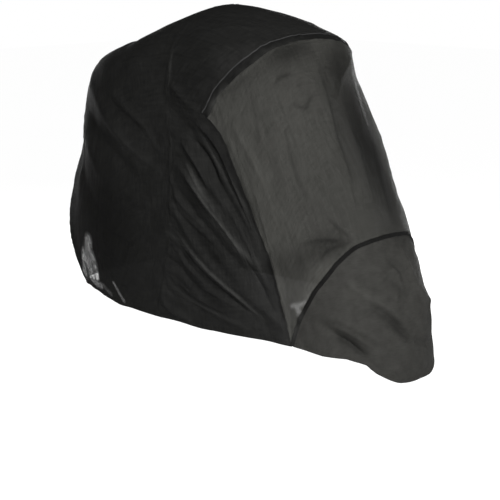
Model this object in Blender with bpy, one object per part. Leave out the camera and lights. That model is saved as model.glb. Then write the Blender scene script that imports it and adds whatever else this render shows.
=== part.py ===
"""A mosquito net cover in its fitted shape, hollow and open below.

A dark mesh hood with its sides, a dark mesh back, a sheer window, a woven toe piece, and the
bindings and piping along their seams. The front faces -Y. Lengths are in metres.
"""
import math

import bmesh
import bpy
import numpy as np
from mathutils import Vector
from mathutils.bvhtree import BVHTree

# Where the part's origin lies: back from the front wheel's axle line and up from the floor
ORIGIN_BACK = 0.100
ORIGIN_UP = 1.192

# Cloth
MESH_THICK = 0.0016
WINDOW_THICK = 0.0014
WOVEN_THICK = 0.0018
BINDING_THICK = 0.0026
PIPING_THICK = 0.0034
GAP = 0.0010

# Widths of the sewn-on strips
FOOT_BINDING_WIDE = 0.009
BAND_WIDE = 0.017
PIPING_WIDE = 0.0032

# How far the trims stand proud of the cloth
BINDING_RAISED = 0.0006
PIPING_RAISED = 0.0010

# Points of a seam, and how many of them its trim leaves free at each end
SEAM_POINTS = 240
FOOT_BINDING_START = 5
BOW_TRIM_START = 4

# The form that the cloth is fitted over, as level rings from the hem to the crest.
# Heights are above the floor, y runs back, and squareness is a superellipse's power.
FORM = (
    # name, half_width, front_y, front_z, side_y, side_z, back_y, back_z, front_square, back_square
    ("hem", 0.254, -0.446, 0.318, 0.08, 0.400, 0.652, 0.400, 3.0, 2.9),
    ("low", 0.260, -0.455, 0.420, 0.08, 0.510, 0.700, 0.490, 2.3, 2.9),
    ("foot", 0.258, -0.431, 0.530, 0.10, 0.600, 0.716, 0.590, 2.2, 2.9),
    ("lap", 0.255, -0.372, 0.640, 0.12, 0.700, 0.689, 0.690, 2.4, 2.9),
    ("waist", 0.252, -0.308, 0.770, 0.14, 0.800, 0.648, 0.790, 2.6, 2.9),
    ("chest", 0.246, -0.240, 0.900, 0.16, 0.900, 0.640, 0.880, 2.8, 2.8),
    ("brow", 0.238, -0.172, 1.020, 0.17, 1.000, 0.620, 0.965, 2.9, 2.8),
    ("bow", 0.226, -0.122, 1.108, 0.17, 1.085, 0.560, 1.032, 3.5, 2.6),
    ("roof", 0.158, -0.080, 1.140, 0.17, 1.150, 0.440, 1.056, 2.7, 2.1),
    ("upper", 0.078, -0.035, 1.158, 0.17, 1.184, 0.320, 1.078, 2.3, 2.0),
    ("crest", 0.000, 0.010, 1.172, 0.16, 1.198, 0.270, 1.100, 2.0, 2.0),
)
RINGS = len(FORM)
TOP_RING = RINGS - 1

# Places on the form are an angle in degrees, 0 at the front, -90 on the near side and 180 at the
# back, and a ring number, which runs from 0 at the hem ring to TOP_RING at the crest.

# The hem's height in rings, a row for each angle, on the near side and on the far side
HEM = (
    # angle, near_ring, far_ring
    (0, 0.06, 0.06),
    (7, 0.20, 0.02),
    (19, 0.42, 0.02),
    (25, 0.58, 0.07),
    (34, 0.60, 0.20),
    (44, 0.50, 0.35),
    (56, 0.46, 0.46),
    (74, 0.27, 0.30),
    (82, 0.18, 0.20),
    (94, 0.08, 0.08),
    (108, 0.05, 0.05),
    (124, 0.13, 0.10),
    (143, 0.10, 0.12),
    (160, 0.05, 0.06),
    (180, 0.02, 0.02),
)

# Seams as places on the near half, which the far half mirrors, a row for each place
FOOT_SEAM = ((56.0, 0.46), (51.7, 1.06), (46.3, 1.68), (42.3, 2.05), (35.0, 2.50), (28.7, 2.79),
             (19.0, 3.08), (9.0, 3.20), (0.0, 3.24))
SIDE_SEAM = ((56.0, 0.46), (56.4, 1.27), (57.4, 2.22), (59.4, 2.95), (61.6, 3.68), (64.8, 4.42),
             (67.4, 4.94), (70.6, 5.27), (75.0, 5.50))
BOW_SEAM = ((75.0, 5.50), (71.0, 5.78), (66.3, 6.14), (54.7, 6.62), (39.3, 6.98), (27.0, 7.26),
            (16.7, 7.47), (7.0, 7.66), (0.0, 7.70))
ARCH_SEAM = ((94.0, 0.08), (91.7, 1.43), (90.7, 2.13), (89.3, 4.28), (89.0, 5.52), (89.0, 6.18),
             (89.5, 7.33), (90.0, 8.40), (90.0, 9.30), (90.0, 10.00))
TOE_CORNER = 22.0
ANCHOR = 56.0
ARCH_FOOT = 94.0
BACK_CORNER = 138.0
ARCH_SHOULDER_UP = 0.990

# Folds as soft ridges and troughs along three places each. Width is from the middle line to
# where the fold has fallen to a third, and a trough's height is negative. Side is near, far or
# both, and a fold on both sides is mirrored.
FOLDS = (
    # name, side, angle_1, ring_1, angle_2, ring_2, angle_3, ring_3, width, height
    ("side upper ridge", "both", 88.7, 4.20, 79.0, 3.50, 67.0, 2.60, 0.015, 0.007),
    ("side upper trough", "both", 89.0, 3.65, 80.0, 2.75, 62.0, 1.60, 0.016, -0.008),
    ("side long ridge", "both", 90.0, 3.13, 80.5, 2.00, 58.3, 0.85, 0.014, 0.010),
    ("side long trough", "both", 91.0, 2.20, 83.0, 1.35, 64.0, 0.72, 0.015, -0.008),
    ("side low ridge", "both", 91.7, 1.45, 83.0, 0.82, 66.0, 0.55, 0.012, 0.007),
    ("side low trough", "both", 92.5, 0.95, 86.0, 0.52, 76.0, 0.40, 0.010, -0.004),
    ("side hem ridge", "both", 93.7, 0.62, 91.8, 0.42, 89.0, 0.20, 0.012, 0.005),
    ("bow foot ridge", "both", 78.0, 5.25, 69.5, 4.70, 62.5, 3.70, 0.012, 0.006),
    ("bow foot trough", "both", 81.0, 4.95, 74.0, 4.10, 63.0, 2.75, 0.012, -0.007),
    ("middle ridge", "both", 84.0, 4.65, 78.5, 4.15, 71.0, 3.30, 0.010, 0.005),
    ("ledge ridge", "both", 89.0, 6.15, 82.7, 5.72, 76.5, 5.52, 0.012, 0.005),
    ("ledge trough", "both", 90.0, 5.65, 84.0, 5.22, 78.0, 4.98, 0.018, -0.006),
    ("shoulder ridge", "both", 136.0, 6.20, 116.0, 5.35, 93.0, 4.25, 0.024, 0.009),
    ("shoulder trough", "both", 139.0, 5.45, 116.0, 4.55, 94.0, 3.50, 0.022, -0.007),
    ("back side ridge", "both", 143.0, 4.90, 120.0, 3.85, 97.0, 2.60, 0.026, 0.007),
    ("back side trough", "both", 143.0, 4.00, 124.0, 2.90, 101.0, 1.60, 0.028, -0.006),
    ("back corner ridge", "both", 152.0, 4.40, 148.0, 2.40, 140.0, 0.30, 0.028, 0.009),
    ("back corner trough", "both", 163.0, 4.20, 162.0, 2.20, 156.0, 0.20, 0.026, -0.008),
    ("back middle ridge", "near", 171.0, 5.40, 174.0, 2.80, 171.0, 0.20, 0.024, 0.008),
    ("back middle trough", "far", 177.0, 5.00, 172.0, 2.60, 176.0, 0.20, 0.022, -0.007),
    ("back far ridge", "far", 165.0, 5.60, 160.0, 3.00, 166.0, 0.30, 0.022, 0.006),
    ("roof back trough", "both", 128.0, 8.30, 118.0, 7.40, 104.0, 6.60, 0.028, -0.005),
    ("window right ridge", "far", 17.3, 6.20, 7.5, 4.50, 5.5, 3.40, 0.012, 0.006),
    ("window right trough", "far", 26.0, 6.00, 18.0, 4.40, 14.0, 3.40, 0.014, -0.006),
    ("window middle ridge", "near", 1.0, 6.50, 8.3, 4.60, 18.7, 3.25, 0.013, 0.006),
    ("window middle trough", "near", 12.0, 6.30, 19.0, 4.60, 26.0, 3.40, 0.018, -0.006),
    ("window side ridge", "both", 40.0, 5.90, 42.0, 4.30, 45.0, 2.50, 0.020, 0.006),
    ("window gather", "near", 42.0, 2.60, 30.0, 3.10, 19.0, 3.22, 0.010, -0.004),
    ("toe cross trough", "near", 34.0, 2.05, 20.0, 1.72, 3.0, 1.20, 0.014, -0.009),
    ("toe cross ridge", "near", 30.0, 2.45, 16.0, 2.10, 2.0, 1.62, 0.014, 0.006),
    ("toe far trough", "far", 0.0, 1.15, 8.0, 0.95, 20.0, 0.70, 0.014, -0.008),
    ("toe near trough", "near", 43.0, 1.20, 34.0, 0.98, 26.0, 0.78, 0.011, -0.006),
    ("toe near ridge", "near", 46.0, 1.45, 34.0, 1.40, 20.0, 1.12, 0.013, 0.006),
    ("toe top crease", "near", 14.0, 2.45, 4.0, 2.66, 1.0, 2.20, 0.010, 0.005),
    ("toe far ridge", "far", 4.0, 2.30, 16.0, 1.90, 30.0, 1.30, 0.016, 0.006),
)

# A fold keeps this share of its height at its ends, and rises to all of it by this power of a sine
FOLD_END_SHARE = 0.35
FOLD_RISE = 0.7
FOLD_STEPS = 24

# Cells along and across the pieces. Pieces that share a seam have the same cells along it.
SIDE_CELLS = 24
OVER_CELLS = 24
FRONT_CELLS = 24
HOOD_DEEP_CELLS = 13
BACK_DEEP_CELLS = 17
TOE_HIGH_CELLS = 11

# Edges sharper than this many degrees are shaded as edges
SHARP_EDGE = 50

# The form's own mesh, which guides are pushed out to
FORM_ANGLES = 288
FORM_STEPS = 16

# Inner places that each panel is pushed out from
FRONT_CORE = (0.0, -0.02, 0.62)
HOOD_CORE = (0.0, 0.06, 0.72)
BACK_CORE = (0.0, 0.20, 0.66)

MATERIALS = {
    "dark mesh": ((0.014, 0.014, 0.013, 1.0), 0.85),
    "window mesh": ((0.060, 0.060, 0.055, 1.0), 0.80),
    "woven cloth": ((0.055, 0.053, 0.048, 1.0), 0.80),
    "dark binding": ((0.010, 0.010, 0.010, 1.0), 0.75),
    "grey piping": ((0.050, 0.050, 0.048, 1.0), 0.65),
}


def through(rows, place, past=None):
    """A smooth curve's value at a place from 0 to the last row, by Catmull-Rom.

    The curve is drawn on past its last row in a straight line, or to the row given.
    """
    rows = np.asarray(rows, float)
    first = 2 * rows[0] - rows[1]
    if past is None:
        past = 2 * rows[-1] - rows[-2]
    drawn = np.vstack([first, rows, past])
    place = np.clip(np.asarray(place, float), 0, len(rows) - 1 - 1e-9)
    row = np.floor(place).astype(int)
    part = (place - row)[..., None]
    before, start, end, after = (drawn[row + step] for step in range(4))
    return 0.5 * (
        2 * start
        + (end - before) * part
        + (2 * before - 5 * start + 4 * end - after) * part**2
        + (3 * start - before - 3 * end + after) * part**3
    )


def ring_sizes(ring):
    """The form's sizes at a ring number. The ring past the crest is mirrored, so that the roof is round."""
    rows = np.array([row[1:] for row in FORM], float)
    past = rows[-2].copy()
    past[0] = -past[0]
    return through(rows, ring, past)


def form_point(angle, ring):
    """The form's point at an angle in degrees and a ring number."""
    turn = np.radians(np.asarray(angle, float))
    sizes = np.moveaxis(ring_sizes(ring), -1, 0)
    half, front_y, front_z, side_y, side_z, back_y, back_z, front_square, back_square = sizes
    sine, cosine = np.sin(turn), np.cos(turn)
    ahead = cosine > 0
    power = 2 / np.where(ahead, front_square, back_square)
    reach = np.abs(cosine) ** power
    x = half * np.sign(sine) * np.abs(sine) ** power
    y = side_y + np.where(ahead, front_y - side_y, back_y - side_y) * reach
    z = side_z + np.where(ahead, front_z - side_z, back_z - side_z) * cosine**2
    return np.stack([x, y - ORIGIN_BACK, z - ORIGIN_UP], -1)


def hem_ring(angle):
    """The hem's ring number at an angle."""
    angle = (np.asarray(angle, float) + 180) % 360 - 180
    table = np.array(HEM, float)
    near = np.interp(np.abs(angle), table[:, 0], table[:, 1])
    far = np.interp(np.abs(angle), table[:, 0], table[:, 2])
    return np.where(angle < 0, near, far)


def evenly(points, count):
    """The polyline's points at count + 1 even steps of its length."""
    steps = np.linalg.norm(np.diff(points, axis=0), axis=1)
    length = np.concatenate([[0.0], np.cumsum(steps)])
    wanted = np.linspace(0, length[-1], count + 1)
    return np.stack([np.interp(wanted, length, points[:, axis]) for axis in range(3)], -1)


def half_seam(rows, side=-1):
    """A seam's near half as many points on the form, from the first row to the last, or its far half."""
    smooth = through(rows, np.linspace(0, len(rows) - 1, SEAM_POINTS))
    return form_point(side * smooth[:, 0], smooth[:, 1])


def whole(half):
    """A near half and its mirrored far half as one run over the middle."""
    return np.vstack([half, (half * (-1, 1, 1))[::-1][1:]])


def meeting(first, second):
    """Where two polylines come nearest, as a point number on each."""
    away = np.linalg.norm(first[:, None] - second[None], axis=-1)
    return np.unravel_index(away.argmin(), away.shape)


def hem_run(start, end, count):
    """The hem from one angle to another."""
    angles = np.linspace(start, end, SEAM_POINTS)
    return evenly(form_point(angles, hem_ring(angles)), count)


class Form:
    """The form as a mesh that points are pushed out to, along rays from inside."""

    def __init__(self):
        angles = np.linspace(-180, 180, FORM_ANGLES + 1)
        rings = np.linspace(0, TOP_RING, TOP_RING * FORM_STEPS + 1)
        grid = form_point(*np.meshgrid(angles, rings))
        rows, columns = grid.shape[:2]
        faces = [
            (i * columns + j, i * columns + j + 1, (i + 1) * columns + j + 1, (i + 1) * columns + j)
            for i in range(rows - 1)
            for j in range(columns - 1)
        ]
        self.grid = grid
        self.columns = columns - 1
        self.tree = BVHTree.FromPolygons([Vector(p) for p in grid.reshape(-1, 3)], faces)
        self.normal = self.normals(grid)

    def normals(self, grid):
        """Outward normals at the form's points."""
        along = np.gradient(grid, axis=1)
        up = np.gradient(grid, axis=0)
        out = np.cross(along, up)
        size = np.linalg.norm(out, axis=-1, keepdims=True)
        out = out / np.maximum(size, 1e-12)
        out[-1] = out[-2]
        return out

    def push(self, points, core):
        """Points pushed out to the form from a core, and the form's normals there."""
        core = Vector((core[0], core[1] - ORIGIN_BACK, core[2] - ORIGIN_UP))
        placed = np.empty_like(points)
        normals = np.empty_like(points)
        for index in np.ndindex(points.shape[:-1]):
            point = Vector(points[index])
            direction = (point - core).normalized()
            hit, _, face, _ = self.tree.ray_cast(core, direction)
            if hit is None:
                hit, _, face, _ = self.tree.find_nearest(point)
            i, j = divmod(face, self.columns)
            corner = self.grid[i, j]
            along = self.grid[i, j + 1] - corner
            up = self.grid[i + 1, j] - corner
            offset = np.array(hit) - corner
            share_along = np.clip(offset @ along / max(along @ along, 1e-12), 0, 1)
            share_up = np.clip(offset @ up / max(up @ up, 1e-12), 0, 1)
            low = self.normal[i, j] * (1 - share_along) + self.normal[i, j + 1] * share_along
            high = self.normal[i + 1, j] * (1 - share_along) + self.normal[i + 1, j + 1] * share_along
            blend = low * (1 - share_up) + high * share_up
            placed[index] = hit
            normals[index] = blend / np.linalg.norm(blend)
        return placed, normals


def fold_lines():
    """Each fold's middle line on the form, its width and its height."""
    lines = []
    for _, side, angle_1, ring_1, angle_2, ring_2, angle_3, ring_3, width, height in FOLDS:
        rows = ((angle_1, ring_1), (angle_2, ring_2), (angle_3, ring_3))
        for sign, name in ((-1, "near"), (1, "far")):
            if side in ("both", name):
                lines.append((evenly(half_seam(rows, sign), FOLD_STEPS), width, height))
    return lines


def fold_height(points, lines):
    """How far the folds lift points of the form outward."""
    lift = np.zeros(points.shape[:-1])
    for line, width, height in lines:
        start, step = line[:-1], np.diff(line, axis=0)
        offset = points[..., None, :] - start
        share = np.clip((offset * step).sum(-1) / (step * step).sum(-1), 0, 1)
        away = np.linalg.norm(offset - share[..., None] * step, axis=-1)
        nearest = away.argmin(-1)
        distance = np.take_along_axis(away, nearest[..., None], -1)[..., 0]
        along = (nearest + np.take_along_axis(share, nearest[..., None], -1)[..., 0]) / len(step)
        rise = np.sin(np.pi * np.clip(along, 0, 1)) ** FOLD_RISE
        fade = FOLD_END_SHARE + (1 - FOLD_END_SHARE) * rise
        lift += height * fade * np.exp(-((distance / width) ** 2))
    return lift


def coons(front, rear, left, right):
    """A grid between four edges. Front and rear run from left to right, left and right from front to rear."""
    across = np.linspace(0, 1, len(front))[None, :, None]
    deep = np.linspace(0, 1, len(left))[:, None, None]
    ruled = front[None] * (1 - deep) + rear[None] * deep
    sides = left[:, None] * (1 - across) + right[:, None] * across
    corners = (
        front[0] * (1 - across) * (1 - deep)
        + front[-1] * across * (1 - deep)
        + rear[0] * (1 - across) * deep
        + rear[-1] * across * deep
    )
    return ruled + sides - corners


def surface_normals(grid):
    """Normals of a grid of points."""
    across = np.gradient(grid, axis=1)
    deep = np.gradient(grid, axis=0)
    normals = np.cross(across, deep)
    return normals / np.maximum(np.linalg.norm(normals, axis=-1, keepdims=True), 1e-12)


def material(name):
    """A plain material by its name in the table."""
    colour, rough = MATERIALS[name]
    made = bpy.data.materials.get(name)
    if made is None:
        made = bpy.data.materials.new(name)
        made.use_nodes = True
        shader = made.node_tree.nodes["Principled BSDF"]
        shader.inputs["Base Color"].default_value = colour
        shader.inputs["Roughness"].default_value = rough
        made.diffuse_color = colour
    return made


def sheet(name, outer, normals, thick, material_name):
    """A closed sheet between a grid of outer points and the same grid moved in by its thickness."""
    rows, columns = outer.shape[:2]
    inner = outer - normals * thick
    points = np.concatenate([outer.reshape(-1, 3), inner.reshape(-1, 3)])
    count = rows * columns

    def at(i, j, layer):
        return layer * count + i * columns + j

    faces = []
    for i in range(rows - 1):
        for j in range(columns - 1):
            faces.append((at(i, j, 0), at(i, j + 1, 0), at(i + 1, j + 1, 0), at(i + 1, j, 0)))
            faces.append((at(i, j, 1), at(i + 1, j, 1), at(i + 1, j + 1, 1), at(i, j + 1, 1)))
    for j in range(columns - 1):
        faces.append((at(0, j, 0), at(0, j, 1), at(0, j + 1, 1), at(0, j + 1, 0)))
        faces.append((at(rows - 1, j, 0), at(rows - 1, j + 1, 0), at(rows - 1, j + 1, 1), at(rows - 1, j, 1)))
    last = columns - 1
    for i in range(rows - 1):
        faces.append((at(i, 0, 0), at(i + 1, 0, 0), at(i + 1, 0, 1), at(i, 0, 1)))
        faces.append((at(i, last, 0), at(i, last, 1), at(i + 1, last, 1), at(i + 1, last, 0)))
    mesh = bpy.data.meshes.new(name)
    mesh.from_pydata([tuple(p) for p in points], [], faces)
    shape = bmesh.new()
    shape.from_mesh(mesh)
    bmesh.ops.recalc_face_normals(shape, faces=shape.faces)
    bmesh.ops.triangulate(shape, faces=shape.faces)
    shape.to_mesh(mesh)
    shape.free()
    mesh.shade_smooth()
    mesh.set_sharp_from_angle(angle=math.radians(SHARP_EDGE))
    mesh.materials.append(material(material_name))
    made = bpy.data.objects.new(name, mesh)
    bpy.context.scene.collection.objects.link(made)
    return made


def laid(form, lines, grid, core):
    """A grid pushed out to the form and folded, with its normals."""
    placed, normals = form.push(grid, core)
    folded = placed + normals * fold_height(placed, lines)[..., None]
    across = surface_normals(folded)
    if (across * normals).sum() < 0:
        across = -across
    return folded, across


def beside(form, line, offset, core):
    """A line on the form moved across itself. On a near line that runs up, + is towards the back."""
    placed, normals = form.push(line, core)
    along = np.gradient(placed, axis=0)
    across = np.cross(normals, along)
    across /= np.linalg.norm(across, axis=-1, keepdims=True)
    return placed + across * offset


def strip(name, form, lines, half, offsets, core, thick, raised, material_name):
    """A narrow closed strip beside a near half line and its mirror image, at the offsets across it."""
    grid = np.stack([whole(beside(form, half, offset, core)) for offset in offsets])
    outer, normals = laid(form, lines, grid, core)
    sheet(name, outer + normals * raised, normals, thick, material_name)


def panel(name, form, lines, edges, core, thick, material_name):
    """A closed sheet of cloth between its front, rear, left and right edges, on the folded form."""
    grid, _ = form.push(coons(*edges), core)
    outer, normals = laid(form, lines, grid, core)
    sheet(name, outer, normals, thick, material_name)


def make_bow_trim(form, lines, bow):
    """The piping on the bow seam, and the doubled band on the window's side of it."""
    run = evenly(bow, FRONT_CELLS // 2)
    run[0] = bow[BOW_TRIM_START]
    half = PIPING_WIDE / 2
    strip(
        "bow_piping", form, lines, run, (-half, half), HOOD_CORE, PIPING_THICK, PIPING_RAISED, "grey piping",
    )
    near = -half - GAP
    offsets = (near - BAND_WIDE, near - BAND_WIDE / 2, near)
    strip("bow_band", form, lines, run, offsets, HOOD_CORE, BINDING_THICK, 0.0, "dark binding")


def make_foot_binding(form, lines, foot):
    """The binding over the seam between the window and the toe piece."""
    run = evenly(foot, FRONT_CELLS // 2)
    run[0] = foot[FOOT_BINDING_START]
    half = FOOT_BINDING_WIDE / 2
    offsets = (-half, half)
    strip(
        "foot_binding", form, lines, run, offsets, FRONT_CORE, BINDING_THICK, BINDING_RAISED, "dark binding",
    )


def make_window(form, lines, foot, side, bow):
    """The sheer window between the foot binding, the side seams and the band."""
    low = beside(form, foot, FOOT_BINDING_WIDE / 2 + GAP, FRONT_CORE)
    high = beside(form, bow, -PIPING_WIDE / 2 - BAND_WIDE - 2 * GAP, HOOD_CORE)
    edge = beside(form, side, -GAP / 2, FRONT_CORE)
    left = beside(form, evenly(side, SIDE_CELLS), -GAP / 2, FRONT_CORE)
    front = evenly(low[meeting(low, edge)[0] :], FRONT_CELLS // 2)
    rear = evenly(high[meeting(high, edge)[0] :], FRONT_CELLS // 2)
    left[0], left[-1] = front[0], rear[0]
    edges = (whole(front), whole(rear), left, left * (-1, 1, 1))
    panel("window_panel", form, lines, edges, FRONT_CORE, WINDOW_THICK, "window mesh")


def make_toe(form, lines, foot):
    """The woven toe piece between the hem and the foot binding."""
    high = evenly(beside(form, foot, -FOOT_BINDING_WIDE / 2 - GAP, FRONT_CORE), FRONT_CELLS // 2)
    front = hem_run(-TOE_CORNER, TOE_CORNER, FRONT_CELLS)
    left = hem_run(-TOE_CORNER, -ANCHOR, TOE_HIGH_CELLS)
    right = hem_run(TOE_CORNER, ANCHOR, TOE_HIGH_CELLS)
    rear = whole(high)
    left[-1], right[-1] = rear[0], rear[-1]
    panel("foot_panel", form, lines, (front, rear, left, right), FRONT_CORE, WOVEN_THICK, "woven cloth")


def over_run(line, shoulder):
    """A near line in even cells up to its shoulder and on to the middle, with its mirror image."""
    side = evenly(line[: shoulder + 1], SIDE_CELLS)
    over = evenly(line[shoulder:], OVER_CELLS // 2)
    return whole(np.vstack([side, over[1:]]))


def make_hood(form, lines, side, bow, arch, shoulder):
    """The hood with its sides, one cloth from the near hem over the top to the far hem."""
    side_edge = beside(form, evenly(side, SIDE_CELLS), GAP / 2, HOOD_CORE)
    bow_edge = beside(form, evenly(bow, OVER_CELLS // 2), PIPING_WIDE / 2 + GAP, HOOD_CORE)
    front = whole(np.vstack([side_edge[:-1], bow_edge]))
    arch_edge = beside(form, arch, -GAP / 2, HOOD_CORE)
    rear = over_run(arch_edge, shoulder)
    left = hem_run(-ANCHOR, -ARCH_FOOT, HOOD_DEEP_CELLS)
    right = hem_run(ANCHOR, ARCH_FOOT, HOOD_DEEP_CELLS)
    left[0], left[-1], right[0], right[-1] = front[0], rear[0], front[-1], rear[-1]
    panel("hood_panel", form, lines, (front, rear, left, right), HOOD_CORE, MESH_THICK, "dark mesh")


def make_back(form, lines, arch, shoulder):
    """The back, from the arch seam over the shoulders and down to the hem behind."""
    arch_edge = beside(form, arch, GAP / 2, BACK_CORE)
    front = over_run(arch_edge, shoulder)
    rear = hem_run(-BACK_CORNER, BACK_CORNER - 360, len(front) - 1)
    left = hem_run(-ARCH_FOOT, -BACK_CORNER, BACK_DEEP_CELLS)
    right = hem_run(ARCH_FOOT, BACK_CORNER, BACK_DEEP_CELLS)
    left[0], right[0] = front[0], front[-1]
    panel("back_panel", form, lines, (front, rear, left, right), BACK_CORE, MESH_THICK, "dark mesh")


def main():
    for old in list(bpy.data.objects):
        bpy.data.objects.remove(old)
    form = Form()
    lines = fold_lines()
    foot = half_seam(FOOT_SEAM)
    side = half_seam(SIDE_SEAM)
    bow = half_seam(BOW_SEAM)
    arch = half_seam(ARCH_SEAM)
    shoulder = int(np.argmin(np.abs(arch[:, 2] - (ARCH_SHOULDER_UP - ORIGIN_UP))))
    make_toe(form, lines, foot)
    make_foot_binding(form, lines, foot)
    make_window(form, lines, foot, side, bow)
    make_bow_trim(form, lines, bow)
    make_hood(form, lines, side, bow, arch, shoulder)
    make_back(form, lines, arch, shoulder)


main()
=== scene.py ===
"""A mosquito net cover in its fitted shape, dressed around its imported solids.

Each cloth is a fine sheet on the folds of its solid, with narrower creases, hems, seam
allowances and stitches, and a knitted or woven material. Lengths are in metres.
"""
import math

import bmesh
import bpy
import numpy as np
from mathutils import Matrix, Vector
from mathutils.bvhtree import BVHTree

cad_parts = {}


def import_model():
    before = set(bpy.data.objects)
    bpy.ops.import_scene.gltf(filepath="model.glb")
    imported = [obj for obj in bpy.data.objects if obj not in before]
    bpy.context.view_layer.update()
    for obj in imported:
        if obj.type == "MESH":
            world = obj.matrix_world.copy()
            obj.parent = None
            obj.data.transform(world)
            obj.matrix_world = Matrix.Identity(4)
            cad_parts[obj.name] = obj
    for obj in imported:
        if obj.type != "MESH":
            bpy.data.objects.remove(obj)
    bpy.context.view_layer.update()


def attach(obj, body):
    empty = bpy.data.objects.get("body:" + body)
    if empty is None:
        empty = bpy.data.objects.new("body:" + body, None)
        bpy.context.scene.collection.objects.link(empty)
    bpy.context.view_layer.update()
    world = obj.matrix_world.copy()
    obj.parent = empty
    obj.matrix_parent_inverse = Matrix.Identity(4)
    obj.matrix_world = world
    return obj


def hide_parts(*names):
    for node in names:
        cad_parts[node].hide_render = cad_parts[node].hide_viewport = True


# Where the part's origin lies: back from the front wheel's axle line and up from the floor
ORIGIN_BACK = 0.100
ORIGIN_UP = 1.192

# Camera, in the row frame: place, turn from straight back and tilt down in degrees, and lens
CAMERA_AT = (-2.170, -2.137, 0.139)
CAMERA_TURN = 45.5
CAMERA_TILT = 14.3
CAMERA_LENS = 84.6
CAMERA_SENSOR = 36.0

# The form that the cloth is fitted over, as level rings from the hem to the crest.
# Heights are above the floor, y runs back, and squareness is a superellipse's power.
FORM = (
    # name, half_width, front_y, front_z, side_y, side_z, back_y, back_z, front_square, back_square
    ("hem", 0.254, -0.446, 0.318, 0.08, 0.400, 0.652, 0.400, 3.0, 2.9),
    ("low", 0.260, -0.455, 0.420, 0.08, 0.510, 0.700, 0.490, 2.3, 2.9),
    ("foot", 0.258, -0.431, 0.530, 0.10, 0.600, 0.716, 0.590, 2.2, 2.9),
    ("lap", 0.255, -0.372, 0.640, 0.12, 0.700, 0.689, 0.690, 2.4, 2.9),
    ("waist", 0.252, -0.308, 0.770, 0.14, 0.800, 0.648, 0.790, 2.6, 2.9),
    ("chest", 0.246, -0.240, 0.900, 0.16, 0.900, 0.640, 0.880, 2.8, 2.8),
    ("brow", 0.238, -0.172, 1.020, 0.17, 1.000, 0.620, 0.965, 2.9, 2.8),
    ("bow", 0.226, -0.122, 1.108, 0.17, 1.085, 0.560, 1.032, 3.5, 2.6),
    ("roof", 0.158, -0.080, 1.140, 0.17, 1.150, 0.440, 1.056, 2.7, 2.1),
    ("upper", 0.078, -0.035, 1.158, 0.17, 1.184, 0.320, 1.078, 2.3, 2.0),
    ("crest", 0.000, 0.010, 1.172, 0.16, 1.198, 0.270, 1.100, 2.0, 2.0),
)
RINGS = len(FORM)
TOP_RING = RINGS - 1

# Places on the form are an angle in degrees, 0 at the front, -90 on the near side and 180 at the
# back, and a ring number, which runs from 0 at the hem ring to TOP_RING at the crest.

# The hem's height in rings, a row for each angle, on the near side and on the far side
HEM = (
    # angle, near_ring, far_ring
    (0, 0.06, 0.06),
    (7, 0.20, 0.02),
    (19, 0.42, 0.02),
    (25, 0.58, 0.07),
    (34, 0.60, 0.20),
    (44, 0.50, 0.35),
    (56, 0.46, 0.46),
    (74, 0.27, 0.30),
    (82, 0.18, 0.20),
    (94, 0.08, 0.08),
    (108, 0.05, 0.05),
    (124, 0.13, 0.10),
    (143, 0.10, 0.12),
    (160, 0.05, 0.06),
    (180, 0.02, 0.02),
)

# Seams as places on the near half, which the far half mirrors, a row for each place
FOOT_SEAM = ((56.0, 0.46), (51.7, 1.06), (46.3, 1.68), (42.3, 2.05), (35.0, 2.50), (28.7, 2.79),
             (19.0, 3.08), (9.0, 3.20), (0.0, 3.24))
SIDE_SEAM = ((56.0, 0.46), (56.4, 1.27), (57.4, 2.22), (59.4, 2.95), (61.6, 3.68), (64.8, 4.42),
             (67.4, 4.94), (70.6, 5.27), (75.0, 5.50))
BOW_SEAM = ((75.0, 5.50), (71.0, 5.78), (66.3, 6.14), (54.7, 6.62), (39.3, 6.98), (27.0, 7.26),
            (16.7, 7.47), (7.0, 7.66), (0.0, 7.70))
ARCH_SEAM = ((94.0, 0.08), (91.7, 1.43), (90.7, 2.13), (89.3, 4.28), (89.0, 5.52), (89.0, 6.18),
             (89.5, 7.33), (90.0, 8.40), (90.0, 9.30), (90.0, 10.00))
TOE_CORNER = 22.0
ANCHOR = 56.0
ARCH_FOOT = 94.0
BACK_CORNER = 138.0
ARCH_SHOULDER_UP = 0.990

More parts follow.
